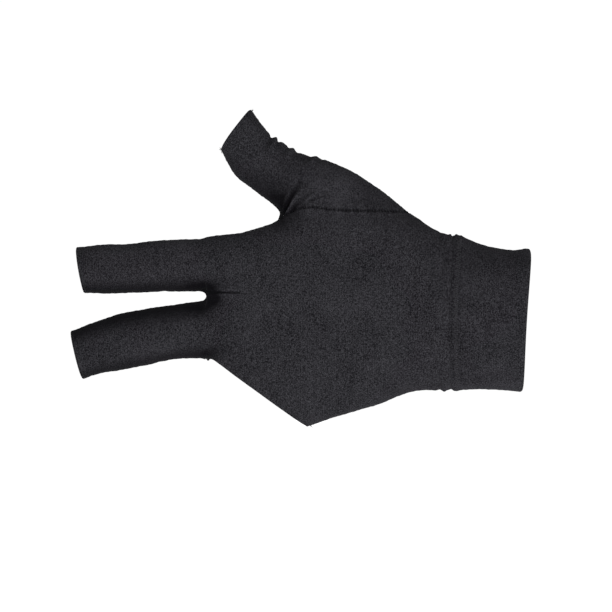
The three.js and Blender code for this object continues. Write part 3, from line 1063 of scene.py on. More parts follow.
def painted_spot(centre: tuple[float, float], size: tuple[float, float], angle: float, tone: float) -> PaintedLightSpot:
    """Makes a patch of painted light, negative for painted shade, from sizes in millimetres."""
    x, z = centre
    long, wide = size
    return PaintedLightSpot((x * MM, z * MM), (long * MM, wide * MM), angle, tone)


PAINTED_LIGHT_SPOTS = (
    # Painted shade: both crotches, the knuckle corner. Painted light: the ball of the thumb, the
    # little finger's side, the cuff's lower side and corners
    painted_spot((-137.5, 9.5), (6.8, 4.8), -12.0, -1.00),
    painted_spot((-141, 14.5), (7, 2.6), 0.0, -0.30),
    painted_spot((-135, -14.5), (9, 3.2), -8.0, -0.30),
    painted_spot((-105.5, 48.5), (5.5, 4.4), 35.0, -0.70),
    painted_spot((-80, 57), (14, 7), -28.0, 0.42),
    painted_spot((-66, -37), (24, 4.5), -18.0, 0.16),
    painted_spot((-14, -29), (20, 3.6), 0.0, 0.30),
    painted_spot((0.5, 29.5), (2.2, 2.2), 0.0, 0.40),
    painted_spot((-28.4, 33.5), (3, 2.2), 0.0, 0.25),
)

# In the fold tables below, each fold's tone paints highlight on its ridge and shade in its valley.
CROTCH_FOLDS = (
    # The fan at the crotch of the thumb, from the finger side to the wrist side
    crease(
        ((-104.5, 45.8), (-109.2, 53.5), (-112.5, 59)),
        3.4, -1.5, fade=0.9, tone=0.2,
    ),
    crease(
        ((-104.6, 45.6), (-100.9, 52.8), (-94.6, 63.4)),
        0.95, -1.5, spread=0.5, tone=0.5,
    ),
    crease(
        ((-103.4, 45.4), (-99.3, 52.1), (-96.2, 57.6)),
        0.62, 1.3, rise=0.16, fade=0.6, tone=0.75,
    ),
    crease(
        ((-101.6, 46), (-95.8, 50.9), (-87.6, 58.2)),
        0.75, -1.4, spread=0.5, tone=0.5,
    ),
    crease(
        ((-99.4, 47.4), (-92.9, 52.6), (-87.6, 56.6)),
        0.6, 1.0, rise=0.06, fade=0.6, tone=0.85,
    ),
    crease(
        ((-96.6, 49.4), (-89.4, 52.5), (-83, 55), (-76, 56.6)),
        0.7, -0.8, fade=0.8, tone=0.5,
    ),
    crease(((-92, 49.6), (-80, 51)), 1.0, -0.35, rise=0.2, fade=0.7),
    crease(((-106.4, 47.6), (-104.4, 53), (-101, 59.5)), 0.8, -0.7, fade=0.7),
    crease(
        ((-105.6, 47), (-102.9, 52.6), (-98.6, 59.5)),
        0.6, 0.6, fade=0.7, tone=0.8,
    ),
)

THUMB_FOLDS = (
    # Short tucks that come down from the thumb's outer edge
    crease(((-108.4, 81.6), (-110.2, 76.6), (-113, 71.4)), 0.8, -0.9, rise=0.06, tone=0.6),
    crease(((-106.9, 81), (-108.2, 76.4), (-110.6, 71.8)), 0.75, 0.6, rise=0.06, tone=0.6),
    crease(((-105.6, 79.6), (-107, 75.2), (-108.6, 72.4)), 0.75, -0.8, rise=0.08, tone=0.6),
    crease(((-99.4, 75), (-102, 71.4), (-104.4, 67.6)), 0.9, 0.6, rise=0.08, tone=0.6),
    crease(((-101.2, 76), (-103.6, 72.2), (-106, 68.6)), 0.9, -0.5, rise=0.08, tone=0.6),
    crease(((-97.4, 74), (-100, 70)), 0.7, -0.5),
    crease(((-89.6, 71), (-92, 68), (-94.6, 65)), 1.0, 0.55, rise=0.08, tone=0.6),
    crease(((-91.6, 72.4), (-94, 69), (-96.4, 66.2)), 1.0, -0.45, rise=0.08, tone=0.6),
    crease(((-87.2, 70), (-89.6, 67)), 0.8, -0.4),
    crease(((-98, 60), (-117, 70)), 1.8, 0.45, rise=0.4, fade=0.5, tone=0.1),
    crease(((-103, 57), (-122, 67)), 1.8, -0.45, rise=0.4, fade=0.5, tone=0.1),
    crease(((-90, 61), (-68, 54)), 2.6, 0.45, rise=0.4, fade=0.6, tone=0.1),
)

FINGER_FOLDS = (
    # The sewn dart behind the crotch of the index and middle stalls, and the slack cloth beside it
    crease(
        ((-139, 12.4), (-134.7, 11.7), (-119.5, 11.3)),
        0.32, -0.7, rise=0.03, fade=0.12, spread=0.0, tone=1.2,
    ),
    crease(((-131.6, 11.6), (-121.5, 11.4)), 0.3, -0.3, rise=0.2, fade=0.3, spread=0.0, tone=1.2),
    crease(((-136.6, 10.7), (-120.5, 10.5)), 0.4, 0.3, rise=0.05, fade=0.2, tone=0.9),
    crease(((-134, 13), (-121, 12.5)), 0.6, 0.35, fade=0.5, tone=0.5),
    crease(((-137, 8.6), (-124, 7.2)), 1.6, -1.0, fade=0.8, tone=0.2),
    crease(((-139, 14.8), (-131, 14.2)), 1.4, -0.6, fade=0.8, tone=0.2),
)

KNUCKLE_FOLDS = (
    # The corner where the knuckle edge meets the middle stall
    crease(((-139, -14.6), (-133, -12.4), (-127, -9)), 1.6, -0.7, fade=0.8),
    crease(((-134, -18.4), (-121, -15)), 1.5, 0.3, fade=0.8, tone=0.1),
)

WRIST_FOLDS = (
    # A soft slanted fold beside the wrist seam, and short tucks at both ends of the seam
    crease(((-34.8, 27.4), (-36.2, 20.4), (-39.4, 14.6)), 1.3, -0.9, fade=0.8),
    crease(((-36.8, 27), (-38.6, 20.6)), 1.3, 0.35, fade=0.8),
    crease(((-32.5, 36.8), (-33.8, 32.4)), 0.6, 0.5),
    crease(((-31.4, 36.4), (-32.7, 32.2)), 0.6, -0.5),
    crease(((-30.3, 36), (-31.8, 32)), 0.6, 0.5),
    crease(((-28, 35.2), (-29.6, 31.8)), 0.6, 0.4),
    crease(((-36.8, 37.4), (-38.6, 31)), 0.8, -0.6),
    crease(((-35.2, -30.6), (-36.2, -24)), 0.8, 0.7),
    crease(((-37, -30.6), (-38.4, -25)), 0.9, -0.6),
    crease(((-32.4, -30.6), (-33, -26.4)), 0.7, -0.4),
)

PALM_FOLDS = (
    # Where the thumb and the fingers draw the cloth of the palm together
    crease(((-104.5, 44.6), (-90, 33)), 1.6, -0.9, face=Face.PALM, fade=0.8),
    crease(((-101.5, 45.6), (-84, 38)), 1.4, 0.7, face=Face.PALM, fade=0.8),
    crease(
        ((-126, -20), (-118, 0), (-118, 26)),
        1.8, -0.7, face=Face.PALM, rise=0.4, fade=0.5, spread=0.0,
    ),
    crease(
        ((-44, 6), (-70, 14), (-92, 32)),
        2.4, -0.7, face=Face.PALM, rise=0.4, fade=0.5,
    ),
    crease(
        ((-156, 12), (-156, 34)),
        1.3, -0.6, face=Face.PALM, rise=0.3, fade=0.3, spread=0.0,
    ),
    crease(
        ((-158, -19), (-157, 4)),
        1.3, -0.6, face=Face.PALM, rise=0.3, fade=0.3, spread=0.0,
    ),
)


@dataclass
class Relief:
    """All that makes the cloth depart from the plain worn shape, and the light and shade painted
    into its colour.
    """

    shape: WornShape
    side_pucker: float = 0.08 * MM
    thumb_pucker: float = 0.12 * MM
    wrist_pucker: float = 0.12 * MM
    swell: float = 0.24 * MM
    shortest_swell: float = 13.0 * MM
    longest_swell: float = 34.0 * MM
    thumb_seam_start: tuple[float, float] = (-110.0 * MM, -105.0 * MM)
    thumb_span: tuple[float, float] = (-1.0 * MM, 3.0 * MM)
    painted_light_limits: tuple[float, float] = (-1.0, 0.5)

    def __post_init__(self) -> None:
        """Lists the folds, the sewn lines and the marks of painted light and shade."""
        shape = self.shape
        self.folds = (
            CROTCH_FOLDS + THUMB_FOLDS + FINGER_FOLDS + KNUCKLE_FOLDS + WRIST_FOLDS + PALM_FOLDS
        )
        self.parts = [
            *self.folds,
            self._long_seam(shape.side_seam, 0.6, 3.4 * MM, 3, (1.5 * MM, -1.5 * MM)),
            self._long_seam(shape.thumb.middle, -0.8, 3.1 * MM, 5, (-1.0 * MM, 2.0 * MM)),
            self._thumb_seam(),
            self._wrist_seam(),
            Unevenness(self.swell, self.shortest_swell, self.longest_swell),
        ]
        from_crotch = (-9.0 * MM, 3.0 * MM)
        # Painted light on the index stall's upper side; painted shade on the stalls' facing sides,
        # the middle stall's lower side and the thumb's lower side; then the painted spots.
        self.painted_light_marks = [
            PaintedSideShade(shape.index, 1, 0.10, 0.24, (-12.0 * MM, 12.0 * MM)),
            PaintedSideShade(shape.index, -1, 0.35, -0.85, from_crotch),
            PaintedSideShade(shape.middle, 1, 0.15, -0.95, from_crotch),
            PaintedSideShade(shape.middle, -1, 0.45, -0.75, (-6.0 * MM, 4.0 * MM)),
            PaintedSideShade(
                shape.thumb, -1, -0.30, -0.60, (52.0 * MM, 66.0 * MM), (104.0 * MM, 72.0 * MM)
            ),
            *PAINTED_LIGHT_SPOTS,
        ]

    def _long_seam(
        self, across: Measure, lean: float, wave: float, seed: int, span: tuple[float, float]
    ) -> SeamLine:
        """Gives the seam between back and palm, on the hand with the fingers or on the thumb.

        Args:
            across: Gives how far from the seam a point lies.
            lean: How much the place along the seam grows with Z.
            wave: Length of a pucker.
            seed: Draws the puckers' phases.
            span: Distances past the thumb seam between which it comes up.

        Returns:
            The seam.
        """
        return SeamLine(
            across,
            lambda points: points[:, 0] + lean * points[:, 2],
            depth=0.35 * MM,
            width=0.5 * MM,
            roll=0.14 * MM,
            pucker=self.side_pucker,
            wave=wave,
            seed=seed,
            mask=lambda points: ramp(self.shape.thumb_seam(points), *span),
        )

    def _thumb_seam(self) -> SeamLine:
        """Gives the seam round the ball of the thumb."""
        shape = self.shape
        return SeamLine(
            shape.thumb_seam,
            lambda points: points[:, 0] + 0.4 * points[:, 1],
            depth=0.65 * MM,
            width=0.55 * MM,
            roll=0.04 * MM,
            pucker=self.thumb_pucker,
            wave=4.2 * MM,
            seed=11,
            # Strong painted shade darkens the groove and its needle dents.
            tone=2.4,
            stitch=1.6 * MM,
            mask=lambda points: ramp(shape.wrist_seam(points), 0.5 * MM, -1.0 * MM)
            * ramp(points[:, 0], *self.thumb_seam_start),
        )

    def _wrist_seam(self) -> SeamLine:
        """Gives the seam between the hand and the cuff."""
        return SeamLine(
            self.shape.wrist_seam,
            lambda points: points[:, 2] + 0.7 * points[:, 1],
            depth=0.22 * MM,
            width=0.5 * MM,
            roll=0.05 * MM,
            pucker=self.wrist_pucker,
            wave=5.2 * MM,
            reach=3.4 * MM,
            seed=13,
            tone=0.6,
        )

    def side(self, points: Array) -> Array:
        """Gives how far on the palm's side of the hand or of the thumb each point lies."""
        on_thumb = ramp(self.shape.thumb_seam(points), *self.thumb_span)
        hand, thumb = self.shape.side_seam(points), self.shape.thumb.middle(points)
        return hand * (1 - on_thumb) + thumb * on_thumb

    def lift(self, points: Array) -> Array:
        """Gives how far the cloth stands out of the plain worn shape at each point."""
        side = self.side(points)
        return sum(part.lift(points, side) for part in self.parts)

    def tone(self, points: Array) -> Array:
        """Gives the light painted at each point, negative where shade is painted. Crests get
        painted highlight, hollows painted shade.
        """
        side = self.side(points)
        found = sum(part.lift(points, side) * part.tone / MM for part in self.parts if part.tone)
        found += sum(painted_light.painted_light_at(points) for painted_light in self.painted_light_marks)
        return np.clip(found, *self.painted_light_limits)


NOISE_SPAN = (0.3, 0.7)


class Board:
    """The nodes of one material, with its shader already in place."""

    def __init__(self, name: str) -> None:
        """Starts a material with this name."""
        self.material = bpy.data.materials.new(name)
        self.material.use_nodes = True
        self.nodes = self.material.node_tree.nodes
        self.links = self.material.node_tree.links
        self.shader = self.nodes["Principled BSDF"]

    def add(self, kind: str, inputs: dict[str, object] | None = None, **settings: object) -> Node:
        """Adds a node.

        Args:
            kind: The node's type.
            inputs: Values or other nodes' outputs for its input sockets, by socket name.
            **settings: Values for the node's own properties.

        Returns:
            The node.
        """
        node = self.nodes.new(kind)
        for name, value in settings.items():
            setattr(node, name, value)
        for name, value in (inputs or {}).items():
            self.feed(node.inputs[name], value)
        return node

    def feed(self, socket: Socket, value: object) -> None:
        """Links another node's output to a socket, or sets the socket's value."""
        if isinstance(value, Socket):
            self.links.new(value, socket)
        else:
            socket.default_value = value

    def places(self) -> Socket:
        """Gives places in the object."""
        return self.add("ShaderNodeTexCoord").outputs["Object"]

    def set(self, **values: object) -> None:
        """Sets the shader's own sockets, named with low lines for spaces."""
        for name, value in values.items():
            self.shader.inputs[name.replace("_", " ")].default_value = value

    def bump(self, height: object, strength: float, distance: float) -> None:
        """Lets the light fall as if the surface stood out by a height."""
        settings = {"Height": height, "Strength": strength, "Distance": distance}
        bump = self.add("ShaderNodeBump", settings)
        self.feed(self.shader.inputs["Normal"], bump.outputs["Normal"])

    def speckle(self, size: float, detail: float = 2.0) -> Socket:
        """Gives soft random spots of about one size."""
        settings = {"Vector": self.places(), "Scale": 1 / size, "Detail": detail, "Roughness": 0.6}
        return self.add("ShaderNodeTexNoise", settings).outputs["Fac"]

    def waves(
        self, length: float, direction: str, wander: float, detail_scale: float = 1.0
    ) -> Socket:
        """Gives rows that follow each other at one distance.

        Args:
            length: The distance. At scale 1 the texture's rows are a tenth of pi apart.
            direction: The way that the rows follow each other, in the texture's own words.
            wander: How far they stray.
            detail_scale: How small their ragged detail is.

        Returns:
            Numbers from 0 between two rows to 1 on a row.
        """
        settings = {
            "Vector": self.places(),
            "Scale": math.pi / 10 / length,
            "Distortion": wander,
            "Detail": 2.0,
            "Detail Scale": detail_scale,
        }
        node = self.add("ShaderNodeTexWave", settings, bands_direction=direction)
        return node.outputs["Fac"]

    def span(self, value: object, start: tuple[float, float], end: tuple[float, float]) -> Socket:
        """Maps one range of numbers onto another, held at both ends."""
        names = ("From Min", "From Max", "To Min", "To Max")
        settings = {"Value": value, **dict(zip(names, (*start, *end)))}
        return self.add("ShaderNodeMapRange", settings).outputs["Result"]

    def sum(self, first: object, second: object, share: object = 1.0) -> Socket:
        """Adds a share of the second number to the first."""
        node = self.add("ShaderNodeMath", operation="MULTIPLY_ADD")
        self.feed(node.inputs[0], second)
        self.feed(node.inputs[1], share)
        self.feed(node.inputs[2], first)
        return node.outputs["Value"]

    def tint(self, factor: object, dark: Colour, light: Colour) -> Socket:
        """Mixes two colours."""
        node = self.add("ShaderNodeMix", data_type="RGBA")
        self.feed(node.inputs[0], factor)
        self.feed(node.inputs[6], (*dark, 1.0))
        self.feed(node.inputs[7], (*light, 1.0))
        return node.outputs[2]


@dataclass(frozen=True)
class KnitFinish:
    """A fine, matt stretch knit.

    Attributes:
        dark: Linear colour between the loops, and the colour that full painted shade reaches.
        light: Linear colour on the loops' crowns.
        row_wander: How far the rows stray.
        fine: Size of the finest speckle, as a share of the grain.
        loop_span: The sums of all three between which the tone runs.
        tone_span: The tones at both.
        patch_tone: How much they change the tone.
        sheen: Weight of the soft light along the edges of the form.
    """

    name: str
    dark: Colour
    light: Colour
    grain: float = 0.62 * MM
    row: float = 0.95 * MM
    row_share: float = 0.1
    row_wander: float = 5.0
    fine: float = 0.75
    fine_share: float = 0.9
    loop_span: tuple[float, float] = (0.76, 1.36)
    tone_span: tuple[float, float] = (0.1, 1.0)
    patch: float = 17.0 * MM
    patch_tone: float = 0.1
    roughness: tuple[float, float] = (0.92, 0.76)
    relief: float = 0.12 * MM
    bump: float = 0.6
    sheen: float = 0.018
    sheen_roughness: float = 0.5
    sheen_tint: Colour = (0.62, 0.61, 0.66)

    def material(self) -> Material:
        """Builds the material."""
        board = Board(self.name)
        grain = board.speckle(self.grain, detail=1.0)
        fine = board.speckle(self.grain * self.fine, detail=0.0)
        rows = board.waves(self.row, "X", self.row_wander, detail_scale=3.0)
        patches = board.speckle(self.patch, detail=3.0)
        loops = board.sum(board.sum(grain, rows, self.row_share), fine, self.fine_share)
        uneven = board.span(patches, NOISE_SPAN, (-self.patch_tone, self.patch_tone))
        tone = board.sum(board.span(loops, self.loop_span, self.tone_span), uneven)
        # The tone attribute's painted light and shade scale the knit's own tone.
        painted_light = board.add("ShaderNodeAttribute", attribute_name="tone").outputs["Fac"]
        tone = board.sum(tone, painted_light, tone)
        board.feed(board.shader.inputs["Base Color"], board.tint(tone, self.dark, self.light))
        rough = board.span(grain, NOISE_SPAN, self.roughness)
        board.feed(board.shader.inputs["Roughness"], rough)
        board.set(
            Specular_IOR_Level=0.0,
            Sheen_Weight=self.sheen,
            Sheen_Roughness=self.sheen_roughness,
            Sheen_Tint=(*self.sheen_tint, 1.0),
        )
        board.bump(loops, self.bump, self.relief)
        return board.material


@dataclass(frozen=True)
class ThreadFinish:
    """A twisted sewing thread.

    Attributes:
        dark: Linear colour between the strands.
        light: Linear colour of the strands.
        twist: Length of one turn of the strands.
        wander: How far the strands stray.
        strand_span: The tones between two strands and on one.
    """

    name: str
    dark: Colour
    light: Colour
    twist: float = 0.5 * MM
    wander: float = 1.5
    strand_span: tuple[float, float] = (0.1, 0.7)
    fuzz: float = 0.35 * MM
    fuzz_share: float = 0.4
    roughness: tuple[float, float] = (0.75, 0.6)
    specular: float = 0.06
    bump: float = 0.5
    relief: float = 0.06 * MM

    def material(self) -> Material:
        """Builds the material."""
        board = Board(self.name)
        strands = board.waves(self.twist, "DIAGONAL", self.wander)
        fuzz = board.speckle(self.fuzz)
        tone = board.sum(board.span(strands, (0.0, 1.0), self.strand_span), fuzz, self.fuzz_share)
        board.feed(board.shader.inputs["Base Color"], board.tint(tone, self.dark, self.light))
        rough = board.span(fuzz, NOISE_SPAN, self.roughness)
        board.feed(board.shader.inputs["Roughness"], rough)
        board.set(Specular_IOR_Level=self.specular)
        board.bump(strands, self.bump, self.relief)
        return board.material


@dataclass
class Tailor:
    """Turns cut skins into finished pieces of cloth and thread.

    Attributes:
        thread_sunk: How far a stitch's ends lie in the cloth, as a share of its radius.
        thread_taper: How blunt a thread's ends are.
        thread_ends: Shares of a thread's length where its radius stops shrinking.
    """

    shape: WornShape
    relief: Relief
    painted_light_limits: tuple[float, float] = (-1.1, 0.5)
    thread_rows: int = 7
    thread_sides: int = 6
    thread_sunk: float = 0.7
    thread_taper: float = 0.6
    thread_ends: tuple[float, float] = (0.04, 0.96)

    def raised(self, points: Array, proud: Array | float = 0.0) -> tuple[Array, Array]:
        """Lifts points of the worn shape to the cloth's true outer face.

        Args:
            points: Points on the worn shape.
            proud: How far this cloth stands above the single cloth.

        Returns:
            The lifted points and the normals they were lifted along.
        """
        normals = self.shape.normals(points)
        return points + normals * (self.relief.lift(points) + proud)[:, None], normals

    def cloth(
        self,
        name: str,
        skin: Skin,
        node: str,
        slot: str,
        material: Material,
        wall: Array | float,
        proud: Array | float = 0.0,
        rim_steps: int = 1,
        tone: Array | float = 0.0,
    ) -> Object:
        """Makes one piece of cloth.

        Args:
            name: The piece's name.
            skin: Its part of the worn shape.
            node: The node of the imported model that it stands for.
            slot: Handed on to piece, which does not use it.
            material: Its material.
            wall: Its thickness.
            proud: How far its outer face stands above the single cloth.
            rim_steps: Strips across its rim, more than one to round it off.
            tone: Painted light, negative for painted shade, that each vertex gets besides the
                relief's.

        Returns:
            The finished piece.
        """
        lifted, normals = self.raised(skin.points, proud)
        solid = Skin(lifted, skin.faces).thickened(normals, wall, rim_steps)
        painted_light = np.clip(self.relief.tone(skin.points) + tone, *self.painted_light_limits)
        piece = self.piece(name, solid, slot, material, skin.spread(painted_light, rim_steps))
        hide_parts(node)
        return piece

    def piece(
        self,
        name: str,
        solid: Skin,
        slot: str,
        material: Material,
        tone: Array | None = None,
    ) -> Object:
        """Makes a piece from a closed surface and lets it ride on the glove's only body.

        Args:
            name: The piece's name.
            solid: Its surface.
            slot: Not used.
            material: Its material.
            tone: The painted light of each vertex, negative for painted shade.

        Returns:
            The piece.
        """
        mesh = bpy.data.meshes.new(name)
        mesh.from_pydata(solid.points, [], solid.faces)
        mesh.shade_smooth()
        # The tone attribute carries the painted light and shade to the material.
        if tone is not None:
            values = mesh.attributes.new("tone", "FLOAT", "POINT").data
            values.foreach_set("value", tone.astype(np.float32))
        mesh.materials.append(material)
        piece = bpy.data.objects.new(name, mesh)
        bpy.context.scene.collection.objects.link(piece)
        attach(piece, "root")
        return piece

    def stitches(
        self, starts: Array, ends: Array, radius: float, proud: float, arch: float
    ) -> Skin:
        """Lays one short thread over the cloth between each pair of points.

        Args:
            starts: Where each thread comes out of the cloth.
            ends: Where each goes back in.
            radius: The thread's radius.
            proud: How far the cloth there stands above the single cloth.
            arch: How far the middle of a thread stands above its ends.

        Returns:
            All the threads as one surface.
        """
        share = np.linspace(0, 1, self.thread_rows)
        path = starts[:, None, :] + (ends - starts)[:, None, :] * share[None, :, None]
        flat = self.shape.settle(path.reshape(-1, 3))
        lifted, normals = self.raised(flat, proud)
        path = lifted.reshape(path.shape)
        normals = normals.reshape(path.shape)
        bow = arch * np.sin(math.pi * share) - radius * self.thread_sunk
        path = path + normals * bow[None, :, None]
        return self.strands(path, normals, radius)

    def strands(self, path: Array, normals: Array, radius: float) -> Skin:
        """Makes one thin thread, tapered at both ends, along each row of points.

        Args:
            path: One row of points for each thread.
            normals: A direction roughly square to the thread at each point.
            radius: The threads' radius.

        Returns:
            All the threads as one surface.
        """
        count, rows, _ = path.shape
        sides = self.thread_sides
        share = np.clip(np.linspace(0, 1, rows), *self.thread_ends)
        aside = unit(np.cross(unit(np.gradient(path, axis=1)), normals))
        taper = radius * np.sqrt(np.clip(np.sin(math.pi * share), 0, 1)) ** self.thread_taper
        turn = 2 * math.pi * np.arange(sides) / sides
        radii = taper[None, :, None, None]
        upwards = radii * np.cos(turn)[None, None, :, None] * normals[:, :, None, :]
        sideways = radii * np.sin(turn)[None, None, :, None] * aside[:, :, None, :]
        ring = path[:, :, None, :] + upwards + sideways
        return Skin(ring.reshape(-1, 3), self._tube_faces(count, rows, sides))

    @staticmethod
    def _tube_faces(count: int, rows: int, sides: int) -> Array:
        """Lists the triangles of many equal closed tubes, one after another."""
        faces = []
        for row in range(rows - 1):
            for side in range(sides):
                following = (side + 1) % sides
                a, b = row * sides + side, row * sides + following
                c, d = b + sides, a + sides
                faces += [(a, c, b), (a, d, c)]
        for side in range(1, sides - 1):
            faces.append((0, side, side + 1))
            last = (rows - 1) * sides
            faces.append((last, last + side + 1, last + side))
        one = np.array(faces)
        return (one[None] + (np.arange(count) * rows * sides)[:, None, None]).reshape(-1, 3)

    @staticmethod
    def spaced(loop: Array, step: float, closed: bool = True) -> Array:
        """Spreads points evenly along a line.

        Args:
            loop: The line's points in order.
            step: About how far apart the new points are.
            closed: Whether the line runs back to its start.

        Returns:
            The new points, an even number of them.
        """
        if closed:
            loop = np.vstack((loop, loop[:1]))
        length = np.concatenate(([0], np.cumsum(np.linalg.norm(np.diff(loop, axis=0), axis=1))))
        count = max(2, 2 * round(length[-1] / step / 2))
        places = np.linspace(0, length[-1], count + (0 if closed else 1), endpoint=not closed)
        return np.stack([np.interp(places, length, loop[:, axis]) for axis in range(3)], axis=1)


def joined(skins: Sequence[Skin]) -> Skin:
    """Puts several surfaces into one."""
    points, faces, count = [], [], 0
    for skin in skins:
        points.append(skin.points)
        faces.append(skin.faces + count)
        count += len(skin.points)
    return Skin(np.vstack(points), np.vstack(faces))


def seam_line(skin: Skin, away: Measure, limit: float, shortest: int = 8) -> list[Array]:
    """Finds the stretches of a skin's rim that follow a seam.

    Args:
        skin: The skin.
        away: Gives how far from the seam a point lies.
        limit: How far from the seam the rim may run.
        shortest: Stretches with fewer edges than this, or just as many, are left out.

    Returns:
        One array of points for each stretch, in order. A whole loop ends at its start.
    """
    stretches = []
    for loop in skin.rim_loops():
        points = skin.points[loop]
        near = np.abs(away(points)) < limit
        if near.all():
            stretches.append(np.vstack((points, points[:1])))
            continue
        if not near.any():
            continue
        shift = int(np.argmin(near))
        points, near = np.roll(points, -shift, axis=0), np.roll(near, -shift)
        starts = np.flatnonzero(near & ~np.roll(near, 1))
        ends = np.flatnonzero(near & ~np.roll(near, -1))
        for first, last in zip(starts, ends):
            if last - first > shortest:
                stretches.append(points[first : last + 1])
    return stretches


@dataclass
class Cutting:
    """The worn shape cut into the glove's pieces.

    Attributes:
        fine_reach: How far from a seam or an open edge the triangles are half as large.
        fine_lift: How much a fold has to lift the cloth to have them too.
        own_reach: How far off a limb a point may lie and still count as the limb's.
        open_corner: How near to the middle stall the cloth is cut away past the knuckle edge.
        corner: How near to that stall the back and the palm are cut away for the edge's hem.
        tuck: How near to that stall the hem runs on, under the back and the palm.
    """

    shape: WornShape
    relief: Relief
    cell: float = 0.82 * MM
    fine_reach: float = 2.2 * MM
    fine_lift: float = 0.12 * MM
    hem_width: float = 2.4 * MM
    hem_wall: float = 1.8 * MM
    cuff_wall: float = 2.0 * MM
    margin: float = 4.0 * MM
    own_reach: float = 1.5 * MM
    open_corner: float = 0.2 * MM
    corner: float = 0.7 * MM
    tuck: float = 0.25 * MM

    def __post_init__(self) -> None:
        """Cuts the surface, from the open edges inwards."""
        shape = self.shape
        skin = mesh_surface(shape, self.cell, self.margin)
        skin = skin.refined(self._detailed(skin.points), shape.settle)
        log.info("surface of %d triangles", len(skin.faces))
        skin, cuff = skin.split(shape.wrist_seam(skin.points))
        self.cuff, _ = cuff.split(shape.past_cuff_end(cuff.points) + self.cuff_wall / 2)
        skin, self.index_hem = self._tip(skin, shape.index, shape.index_tip)
        skin, self.middle_hem = self._tip(skin, shape.middle, shape.middle_tip)
        skin, self.thumb_hem = self._tip(skin, shape.thumb, shape.thumb_tip)
        skin, _ = skin.split(self._past_knuckle(skin.points, self.hem_wall / 2, self.open_corner))
        _, self.knuckle_hem = skin.split(self._past_knuckle(skin.points, self.hem_width, self.tuck))
        skin, _ = skin.split(self._past_knuckle(skin.points, self.hem_width, self.corner))
        skin, self.thumb = skin.split(shape.thumb_seam(skin.points))
        self.back, self.palm = skin.split(shape.side_seam(skin.points))

    def _detailed(self, points: Array) -> Array:
        """Finds the vertices that lie near a seam, near an open edge or on a fold."""
        shape = self.shape
        lines = [shape.wrist_seam(points), shape.thumb_seam(points), shape.side_seam(points)]
        lines += [shape.thumb.middle(points), self._past_knuckle(points, self.hem_width / 2, 0.0)]
        for edge in (shape.index_tip, shape.middle_tip, shape.thumb_tip, shape.cuff_end):
            lines.append(edge.beyond(points) + self.hem_width / 2)
        near = np.min(np.abs(lines), axis=0) < self.fine_reach
        near |= np.abs(shape.wrist_seam(points) - self.fine_reach) < self.fine_reach
        side = self.relief.side(points)
        folded = sum(np.abs(fold.lift(points, side)) for fold in self.relief.folds)
        return near | (folded > self.fine_lift)

    def _tip(self, skin: Skin, limb: Limb, edge: OpenEdge) -> tuple[Skin, Skin]:
        """Opens a stall at its tip.

        Args:
            skin: The cloth of all stalls.
            limb: The stall.
            edge: Where it ends.

        Returns:
            The rest of the cloth, and the turned edge.
        """

        def past(points: Array) -> Array:
            """Gives how far past the tip each point lies, other stalls' points far before it."""
            own = self.shape.limb_distance(limb, points) < self.own_reach
            return np.where(own, edge.beyond(points), -1.0)

        skin, _ = skin.split(past(skin.points) + self.hem_wall / 2)
        return skin.split(past(skin.points) + self.hem_width)

    def _past_knuckle(self, points: Array, before: float, corner: float) -> Array:
        """Gives how far past the knuckle edge a point of the hand lies.

        Args:
            points: The points.
            before: How far before the edge the cut runs.
            corner: How far from the middle stall the cut stays.

        Returns:
            Distances past the cut, negative on the kept side.
        """
        off_middle = self.shape.limb_distance(self.shape.middle, points)
        past = self.shape.past_knuckle(points[:, 0], points[:, 2], off_middle) + before
        on_hand = self.shape.limb_distance(self.shape.body, points) < self.own_reach
        return np.where(on_hand, np.minimum(past, off_middle - corner), -1.0)


@dataclass
class HandPanels:
    """The back and the palm of the hand with both halves of the index and middle stalls."""

    wall: float = 1.2 * MM
    back_flat: tuple[float, float] = (104.0 * MM, 176.0 * MM)
    back_area: float = 0.0130
    palm_flat: tuple[float, float] = (104.0 * MM, 176.0 * MM)
    palm_area: float = 0.0130

    def build(self, cut: Cutting, tailor: Tailor, knit: Material) -> list[Object]:
        """Makes both panels.

        Args:
            cut: The cut cloth.
            tailor: Makes pieces.
            knit: The cloth's material.

        Returns:
            The back and the palm.
        """
        pieces = []
        for name, skin, node in (
            ("back_cloth", cut.back, "back_panel"),
            ("palm_cloth", cut.palm, "palm_panel"),
        ):
            pieces.append(tailor.cloth(name, skin, node, "knit", knit, self.wall))
        return pieces

    def declare(self, pieces: Sequence[Object], hems: Sequence[Object]) -> None:
        """Leaves the panels and their turned edges as they are."""


@dataclass
class ThumbPiece:
    """The thumb stall with the gusset over the ball of the thumb."""

    wall: float = 1.2 * MM
    flat: tuple[float, float] = (88.0 * MM, 98.0 * MM)
    area: float = 0.0050

    def build(self, cut: Cutting, tailor: Tailor, knit: Material) -> Object:
        """Makes the stall."""
        return tailor.cloth("thumb_cloth", cut.thumb, "thumb_stall", "knit", knit, self.wall)

    def declare(self, piece: Object, hem: Object) -> None:
        """Leaves the stall and its turned edge as they are."""


